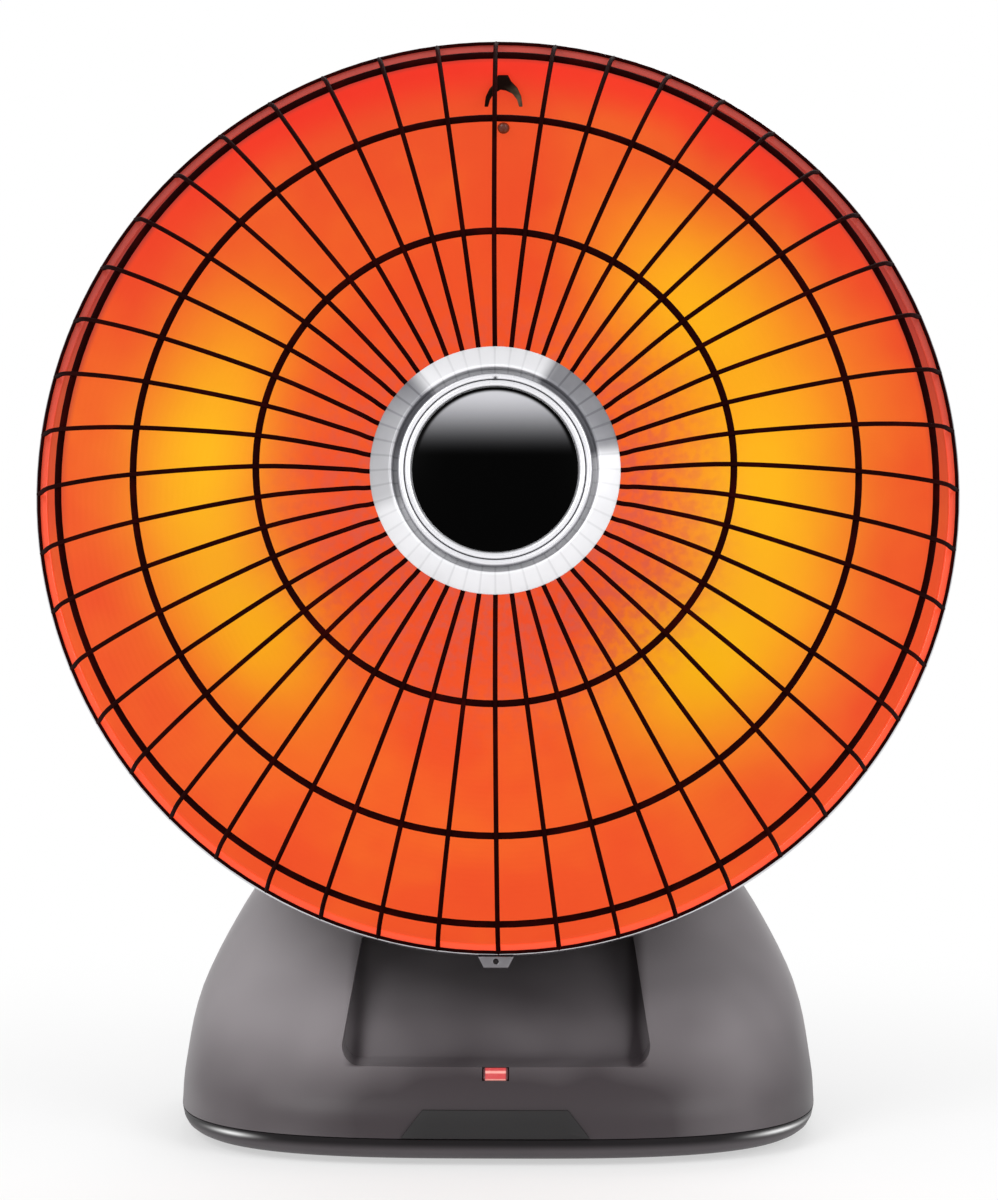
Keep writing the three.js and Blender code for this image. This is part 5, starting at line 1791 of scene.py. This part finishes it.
    def make_housing(self, finish: bpy.types.Material) -> None:
        """The bell housing with its recess, shoulders, openings and bores.

        Args:
            finish: its material.
        """
        top = self.levels[-1][0]
        form = self.bell(0, self.parting, top)
        self.flatten_rear(form, self.rear_flat)
        form = softened(combined(form, self.recess(0), Join.CUT), 1.6, 38.0, 3)
        inner = self.bell(-self.wall, self.parting - 5, top - self.wall, 3, 64)
        self.flatten_rear(inner, self.rear_flat - self.wall)
        inner = combined(inner, self.recess(self.wall), Join.CUT)
        form = combined(form, inner, Join.CUT)
        across = self.slot_half + 9
        flat = self.rear_flat
        (knob_x, knob_z), (rocker_x, rocker_z) = self.knob_spot, self.rocker_spot
        cuts = [
            rod(self.pin_radius, Vector((-across, PIVOT_REARWARD, PIVOT_HEIGHT)),
                Vector((across, PIVOT_REARWARD, PIVOT_HEIGHT)), 40),
            rod(self.knob_bore, Vector((knob_x, flat - 8, knob_z)),
                Vector((knob_x, flat + 2, knob_z)), 32),
            block(self.rocker_hole[0], 20, self.rocker_hole[1], (rocker_x, flat, rocker_z)),
            rod(self.gland_bore, Vector((0, flat - 8, self.gland_height)),
                Vector((0, flat + 2, self.gland_height)), 40),
        ]
        for cut in cuts:
            form = combined(form, cut, Join.CUT)
        lean, forward = self.face_at(self.lens_height)
        hole = block(self.lens_hole[0], 16, self.lens_hole[1], (0, 0, 0))
        place = Matrix.Translation((0, -forward, self.lens_height)) @ Matrix.Rotation(-lean, 4, "X")
        bmesh.ops.transform(hole, matrix=place, verts=hole.verts)
        form = combined(form, hole, Join.CUT)
        self.shop.piece("bell_housing", form, self.shop.base, finish, Body.BASE, "base_plastic",
                        ["base_housing"], 40)

    @staticmethod
    def flatten_rear(bm: bmesh.types.BMesh, distance: float) -> None:
        """Cuts a form's rear off flat and closes it.

        Args:
            bm: the form.
            distance: how far to the rear the cut lies.
        """
        geometry = list(bm.verts) + list(bm.edges) + list(bm.faces)
        made = bmesh.ops.bisect_plane(bm, geom=geometry, plane_co=(0, distance, 0),
                                      plane_no=(0, 1, 0),
                                      clear_outer=True)
        rim = [part for part in made["geom_cut"] if isinstance(part, bmesh.types.BMEdge)]
        bmesh.ops.contextual_create(bm, geom=rim)
        bmesh.ops.recalc_face_normals(bm, faces=bm.faces)

    def face_at(self, height: float) -> tuple[float, float]:
        """The front face's lean in radians and its forward distance at a height.

        Args:
            height: the height in the base frame.

        Returns:
            The lean and the distance.
        """
        curve = catmull([Vector((half, front, level)) for level, half, front, _ in self.levels], 20)
        above = next(i for i, point in enumerate(curve) if point.z > height)
        low, high = curve[above - 1], curve[above]
        share = (height - low.z) / (high.z - low.z)
        return math.atan2(low.y - high.y, high.z - low.z), low.y + (high.y - low.y) * share

    def make_tray(self, finish: bpy.types.Material) -> None:
        """The shallow tray under the parting line.

        Args:
            finish: its material.
        """
        top = self.parting - 0.4
        bottom = self.tray_bottom
        _, half, front, rear = self.levels[0]
        steps = [(bottom, -9.0), (bottom + 0.6, -6.4), (bottom + 1.6, -4.4), (bottom + 3.4, -2.2),
                 (bottom + 6, -0.8), (top, 0.0)]
        rings = [self.section(Vector((half, front, height)), rear, grow, 112)
                 for height, grow in steps]
        form = self.skin(rings)
        self.flatten_rear(form, self.rear_flat)
        inner = self.skin([self.section(Vector((half, front, height)), rear, grow, 64)
                           for height, grow in ((bottom + self.wall, -13.0), (bottom + 7, -7.0),
                                                (top + 1, -3.0))])
        self.flatten_rear(inner, self.rear_flat - self.wall)
        form = combined(form, inner, Join.CUT)
        x, y = self.plunger_spot
        form = combined(form, rod(self.plunger_bore, Vector((x, y, -1)), Vector((x, y, 20)), 32),
                        Join.CUT)
        self.shop.piece("foot_tray", form, self.shop.base, finish, Body.BASE, "tray_plastic",
                        ["base_tray"])

    def make_plate(self, finish: bpy.types.Material) -> None:
        """The plain dark plate at the foot of the front.

        Args:
            finish: its material.
        """
        top = self.levels[-1][0]
        low, high = self.parting + 0.5, self.plate_top
        wide, narrow = self.plate_halves
        outline = [(-wide, low), (wide, low), (narrow, high), (-narrow, high)]
        sheet = combined(self.bell(SEAT_GAP + 1.5, self.parting, top),
                         self.bell(SEAT_GAP, self.parting - 1, top),
                         Join.CUT)
        window = prism([Vector((x, -200, z)) for x, z in outline], Vector((0, 140, 0)))
        form = softened(combined(sheet, window, Join.KEEP), 0.35)
        self.shop.piece("plain_plate", form, self.shop.base, finish, Body.BASE, "black_plastic",
                        ["front_plate"])

    def make_lens(self, finish: bpy.types.Material) -> None:
        """The indicator lens, set square on the sloping face.

        Args:
            finish: its material.
        """
        lean, forward = self.face_at(self.lens_height)
        form = block(*self.lens_size, (0, 2.7, 0), 0.9)
        place = Matrix.Translation((0, -forward, self.lens_height)) @ Matrix.Rotation(-lean, 4, "X")
        self.shop.piece("lamp_lens", form, self.shop.base @ place, finish, Body.BASE, "indicator",
                        ["indicator_lens"])

    def make_feet(self, finish: bpy.types.Material) -> None:
        """Four round rubber feet.

        Args:
            finish: its material.
        """
        rim = self.foot_radius - self.foot_round
        profile = [(0, 0), (rim, 0), *arc((rim, self.foot_round), self.foot_round, -90, 0, 4),
                   (self.foot_radius, self.foot_height), (0, self.foot_height)]
        upright = Matrix.Rotation(-math.pi / 2, 3, "X")
        for number, (x, y) in enumerate(self.foot_spots, 1):
            form = lathe(profile, 48)
            bmesh.ops.rotate(form, cent=(0, 0, 0), matrix=upright, verts=form.verts)
            self.shop.piece(f"round_foot_{number}", form,
                            self.shop.base @ Matrix.Translation((x, y, 0)),
                            finish, Body.BASE, "rubber", [f"foot_{number}"])


@dataclass
class Controls:
    """The thermostat knob and the cord gland in the rear wall."""

    shop: Workshop
    base: Base
    knob_radius: float = 18.0
    knob_depth: float = 16.0
    flutes: int = 24

    def make_knob(self, finish: bpy.types.Material) -> None:
        """The fluted thermostat knob with its pointer.

        Args:
            finish: its material.
        """
        skirt = lathe([(0, 0), (21, 0), *arc((20.2, -1.2), 0.8, 0, -70, 3), (18, -3.4), (0, -3.4)],
                      72)
        grip = bmesh.new()
        upright = Matrix.Translation((0, 3, 0)) @ Matrix.Rotation(-math.pi / 2, 4, "X")
        bmesh.ops.create_circle(grip, cap_ends=True, radius=self.knob_radius,
                                segments=self.flutes * 4, matrix=upright)
        for vert in grip.verts:
            angle = math.atan2(vert.co.z, vert.co.x)
            dip = 0.45 * (1 + math.cos(angle * self.flutes))
            scale = (self.knob_radius - dip) / self.knob_radius
            vert.co.x *= scale
            vert.co.z *= scale
        made = bmesh.ops.extrude_face_region(grip, geom=list(grip.faces))["geom"]
        upper = [part for part in made if isinstance(part, bmesh.types.BMVert)]
        bmesh.ops.translate(grip, vec=(0, self.knob_depth - 3, 0), verts=upper)
        for vert in upper:
            vert.co.x *= 0.94
            vert.co.z *= 0.94
        bmesh.ops.recalc_face_normals(grip, faces=grip.faces)
        grip = softened(grip, 0.8, 60.0)
        pointer_spot = (0, self.knob_depth / 2 + 1.6, self.knob_radius / 2 - 1)
        pointer = block(3, self.knob_depth - 2, self.knob_radius - 3, pointer_spot, 0.5)
        form = combined(combined(skirt, grip, Join.ADD), pointer, Join.ADD)
        form = combined(form, rod(self.base.knob_bore, Vector((0, -1, 0)), Vector((0, 12, 0)), 32),
                        Join.CUT)
        x, z = self.base.knob_spot
        place = self.shop.base @ Matrix.Translation((x, self.base.rear_flat + 0.5, z))
        self.shop.piece("heat_knob", form, place, finish, Body.KNOB, "black_plastic",
                        ["thermostat_knob"])

    def make_gland(self, finish: bpy.types.Material) -> None:
        """The moulded gland of the mains inlet.

        Args:
            finish: its material.
        """
        flat = self.base.rear_flat
        collar = arc((9.2, -flat - 1.8), 0.8, 0, -80, 4)
        mouth = arc((4.9, -flat - 8.3), 0.7, -10, -90, 4)
        form = lathe([(3.6, -flat + 6), (6, -flat + 6), (6, -flat - SEAT_GAP),
                      (10, -flat - SEAT_GAP), *collar, (7, -flat - 4), *mouth,
                      (3.6, -flat - 9)], 48)
        place = self.shop.base @ Matrix.Translation((0, 0, self.base.gland_height))
        self.shop.piece("inlet_gland", form, place, finish, Body.BASE, "black_plastic",
                        ["cord_gland"])


# ---------------------------------------------------------------- carried nodes, stage and camera


@dataclass
class CarriedNodes:
    """The CAD nodes that stay and only get a finish."""

    nodes: dict[str, bpy.types.Object]

    def dress(self, finish: bpy.types.Material, names: Sequence[str]) -> None:
        """Gives the named nodes a finish.

        Args:
            finish: the material.
            names: the nodes.
        """
        for name in names:
            slots = self.nodes[name].data.materials
            slots.clear()
            slots.append(finish)
            for polygon in self.nodes[name].data.polygons:
                polygon.material_index = 0
            log.info("%s: finish %s", name, finish.name)


@dataclass
class Studio:
    """The pale floor, the lamps and the camera."""

    rim_centre: Vector
    focal_pixels: float = 4464.0
    frame_width: float = 998.0
    frame_height: float = 1200.0
    rim_pixel: Pair = (497.3, 492.7)
    distance: float = 2.0
    azimuth: float = math.radians(0.8)
    pitch: float = math.radians(5)
    sensor: float = 36.0

    def camera(self) -> None:
        """The camera at the photograph's place."""
        ahead = Vector((-math.sin(self.azimuth) * math.cos(self.pitch),
                        math.cos(self.azimuth) * math.cos(self.pitch),
                        -math.sin(self.pitch)))
        right = Vector((math.cos(self.azimuth), math.sin(self.azimuth), 0))
        up = right.cross(ahead)
        across = (self.rim_pixel[0] - self.frame_width / 2) / self.focal_pixels * self.distance
        rise = (self.frame_height / 2 - self.rim_pixel[1]) / self.focal_pixels * self.distance
        spot = self.rim_centre - right * across - up * rise - ahead * self.distance
        data = bpy.data.cameras.new("view")
        data.sensor_fit = "HORIZONTAL"
        data.sensor_width = self.sensor
        data.lens = self.sensor * self.focal_pixels / self.frame_width
        data.clip_end = 50
        camera = bpy.data.objects.new("view", data)
        turn = Matrix((right, up, -ahead)).transposed().to_4x4()
        camera.matrix_world = Matrix.Translation(spot) @ turn
        bpy.context.scene.collection.objects.link(camera)
        bpy.context.scene.camera = camera

    def floor(self) -> None:
        """The white floor, which keeps only the heater's shadow."""
        bm = bmesh.new()
        bmesh.ops.create_circle(bm, cap_ends=True, radius=12.0, segments=64)
        mesh = bpy.data.meshes.new("studio_floor")
        bm.to_mesh(mesh)
        bm.free()
        sheet = Sheet("floor_white")
        across, depth, _ = sheet.parts(sheet.point())
        reach = (across * across + depth * depth).root()
        far = (0.55 + reach.step(0.12, 0.55) * 0.45).clamped()
        rays = sheet.node("ShaderNodeLightPath")
        seen = Field(sheet, rays.outputs["Is Camera Ray"]).apply(
            "MAXIMUM", Field(sheet, rays.outputs["Is Glossy Ray"]))
        white = sheet.node("ShaderNodeEmission", {}, {"Color": (1, 1, 1, 1), "Strength": 1.0})
        mixed = sheet.node("ShaderNodeMixShader", {}, {0: seen * far, 1: sheet.shader.outputs[0],
                                                       2: white.outputs[0]})
        sheet.set(sheet.output, {"Surface": mixed.outputs[0]})
        mesh.materials.append(sheet.finish(Base_Color=(0.9, 0.9, 0.9, 1), Roughness=0.9))
        floor = bpy.data.objects.new("studio_floor", mesh)
        bpy.context.scene.collection.objects.link(floor)

    def lamp(self, name: str, place: Triple, aim: Triple, size: float, power: float) -> None:
        """One soft square lamp.

        Args:
            name: the lamp's name.
            place: where it stands, in metres.
            aim: the point that it faces.
            size: its side, in metres.
            power: its power, in watts.
        """
        data = bpy.data.lights.new(name, "AREA")
        data.size = size
        data.energy = power
        lamp = bpy.data.objects.new(name, data)
        along = (Vector(aim) - Vector(place)).to_track_quat("-Z", "Y")
        lamp.matrix_world = Matrix.Translation(place) @ along.to_matrix().to_4x4()
        bpy.context.scene.collection.objects.link(lamp)

    def light(self) -> None:
        """The world and the lamps."""
        world = bpy.data.worlds.new("studio")
        world.use_nodes = True
        bpy.context.scene.world = world
        tree = world.node_tree
        tree.nodes.clear()
        output = tree.nodes.new("ShaderNodeOutputWorld")
        path = tree.nodes.new("ShaderNodeLightPath")
        either = tree.nodes.new("ShaderNodeMath")
        either.operation = "MAXIMUM"
        dim = tree.nodes.new("ShaderNodeBackground")
        white = tree.nodes.new("ShaderNodeBackground")
        mix = tree.nodes.new("ShaderNodeMixShader")
        dim.inputs["Color"].default_value = (1, 1, 1, 1)
        dim.inputs["Strength"].default_value = 0.55
        white.inputs["Color"].default_value = (1, 1, 1, 1)
        white.inputs["Strength"].default_value = 1.0
        tree.links.new(path.outputs["Is Camera Ray"], either.inputs[0])
        tree.links.new(path.outputs["Is Transmission Ray"], either.inputs[1])
        tree.links.new(either.outputs[0], mix.inputs[0])
        tree.links.new(dim.outputs[0], mix.inputs[1])
        tree.links.new(white.outputs[0], mix.inputs[2])
        tree.links.new(mix.outputs[0], output.inputs[0])
        self.lamp("key", (-1.5, -1.9, 1.9), (0, 0, 0.2), 1.4, 34)
        self.lamp("fill", (1.7, -1.7, 1.4), (0, 0, 0.2), 1.4, 24)
        self.lamp("rear", (0.3, 1.8, 1.8), (0, 0, 0.2), 1.4, 22)
        bpy.context.scene.view_settings.view_transform = "Standard"


def main() -> None:
    """Builds the heater's pieces in order."""
    logging.basicConfig(level=logging.INFO, format="%(message)s")
    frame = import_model()
    tilt = next(joint for joint in frame["joints"] if joint["name"] == "dish_tilt")
    shop = Workshop(Vector(tilt["pos_m"]))
    centre = shop.dish @ Vector((0, 0, 0))

    steel = BrightMetal("plated_steel", srgb(176, 177, 182), 0.28, 0.12).material()
    black = MouldedPlastic("black_moulding", srgb(38, 37, 39), 0.45, 0.12).material()
    shell_paint = MouldedPlastic("shell_black", srgb(44, 43, 45), 0.42, 0.15, 2600.0,
                                 0.16).material()
    rubber = MouldedPlastic("foot_rubber", srgb(30, 30, 31), 0.8, 0.15, 1200.0, 0.2).material()
    nylon = MouldedPlastic("natural_nylon", srgb(216, 211, 196), 0.5, 0.06).material()
    ceramic = MouldedPlastic("raw_ceramic", srgb(226, 216, 198), 0.75, 0.08, 1400.0, 0.2).material()
    board = MouldedPlastic("board_green", srgb(40, 92, 58), 0.35, 0.2, 700.0, 0.1).material()
    gloss = MouldedPlastic("gloss_rocker", srgb(22, 22, 24), 0.12, 0.1, 1800.0, 0.02,
                           0.4).material()
    # The light and dark tones are the ends of the base's painted light and shade.
    smoke = SmokedPlastic("smoky_grey", srgb(164, 158, 161), srgb(62, 56, 59)).material()
    # The second tone is the painted shade under the parting line, the third the painted glints.
    tray_grey = TrayPlastic("tray_grey", srgb(96, 91, 94), srgb(26, 23, 25),
                            srgb(250, 250, 250)).material()
    plate_dark = MouldedPlastic("plate_dark", srgb(15, 12, 14), 0.62, 0.1).material()

    bowl = Bowl(shop)
    bowl.make_reflector(GlowingBowl("glowing_bowl", centre).material())
    bowl.make_band(RimTrim("rim_bright", centre).material())
    bowl.make_shell(shell_paint)
    # The screw is steel; its orange-brown is the bowl's glow painted on as a reflection, mottled in
    # patches.
    screw_finish = MouldedPlastic("screw_painted_glow", srgb(96, 38, 18), 0.3, 0.6).material()
    # The bracket's pale patches are painted glints.
    bowl.make_fittings(screw_finish,
                       WirePaint("bracket_brown", srgb(22, 12, 9), srgb(112, 100, 82)).material())
    bowl.make_clip(BrightMetal("clip_steel", srgb(142, 139, 143), 0.42, 0.1).material())

    # The guard's maroon is black paint with the bowl's red glow painted on, deeper red in noise
    # patches.
    Guard(shop).make(WirePaint("guard_black", srgb(28, 2, 2), srgb(46, 4, 3)).material())

    hub = Hub(shop)
    hub.make_flange(SpunTrim("spun_flange", centre).material())
    hub.make_bezel(BeadTrim("bezel_beads", centre).material())
    hub.make_disc(GlossDisc("hub_black", centre).material())

    element = Element(shop)
    element.make_former(ceramic)
    element.make_winding(HotWinding("hot_wire", srgb(240, 70, 20), srgb(255, 176, 60)).material())

    rear = RearGroup(shop, bowl)
    rear.make_pod(black)
    rear.make_cover(black)
    rear.make_cover_screws(steel)
    rear.make_handle(black)

    base = Base(shop)
    base.make_housing(smoke)
    base.make_tray(tray_grey)
    base.make_plate(plate_dark)
    base.make_lens(LitLens("lens_red", srgb(190, 70, 72), srgb(240, 170, 160),
                           base.lens_height * MM).material())
    base.make_feet(rubber)

    controls = Controls(shop, base)
    controls.make_knob(black)
    controls.make_gland(black)

    carried = CarriedNodes(frame["nodes"])
    carried.dress(steel,
                  ["hub_back_plate", "hub_screw", "hub_nut", "element_post", "element_plate",
                   "element_nut", "thermal_cutout", "thermostat_body", "thermostat_shaft",
                   "pivot_pin_left", "pivot_pin_right", "pivot_nut_left", "pivot_nut_right",
                   "plunger_spring", "tray_screw_1", "tray_screw_2", "tray_screw_3",
                   "tray_screw_4"])
    carried.dress(ceramic, ["terminal_block"])
    carried.dress(black, ["rocker_frame", "tip_switch_body", "alarm_buzzer", "lamp_holder"])
    carried.dress(nylon, ["friction_washer_left", "friction_washer_right", "tip_plunger"])
    carried.dress(gloss, ["rocker_button"])
    carried.dress(board, ["control_board"])

    studio = Studio(centre)
    studio.floor()
    studio.light()
    studio.camera()


if __name__ == "__main__":
    main()
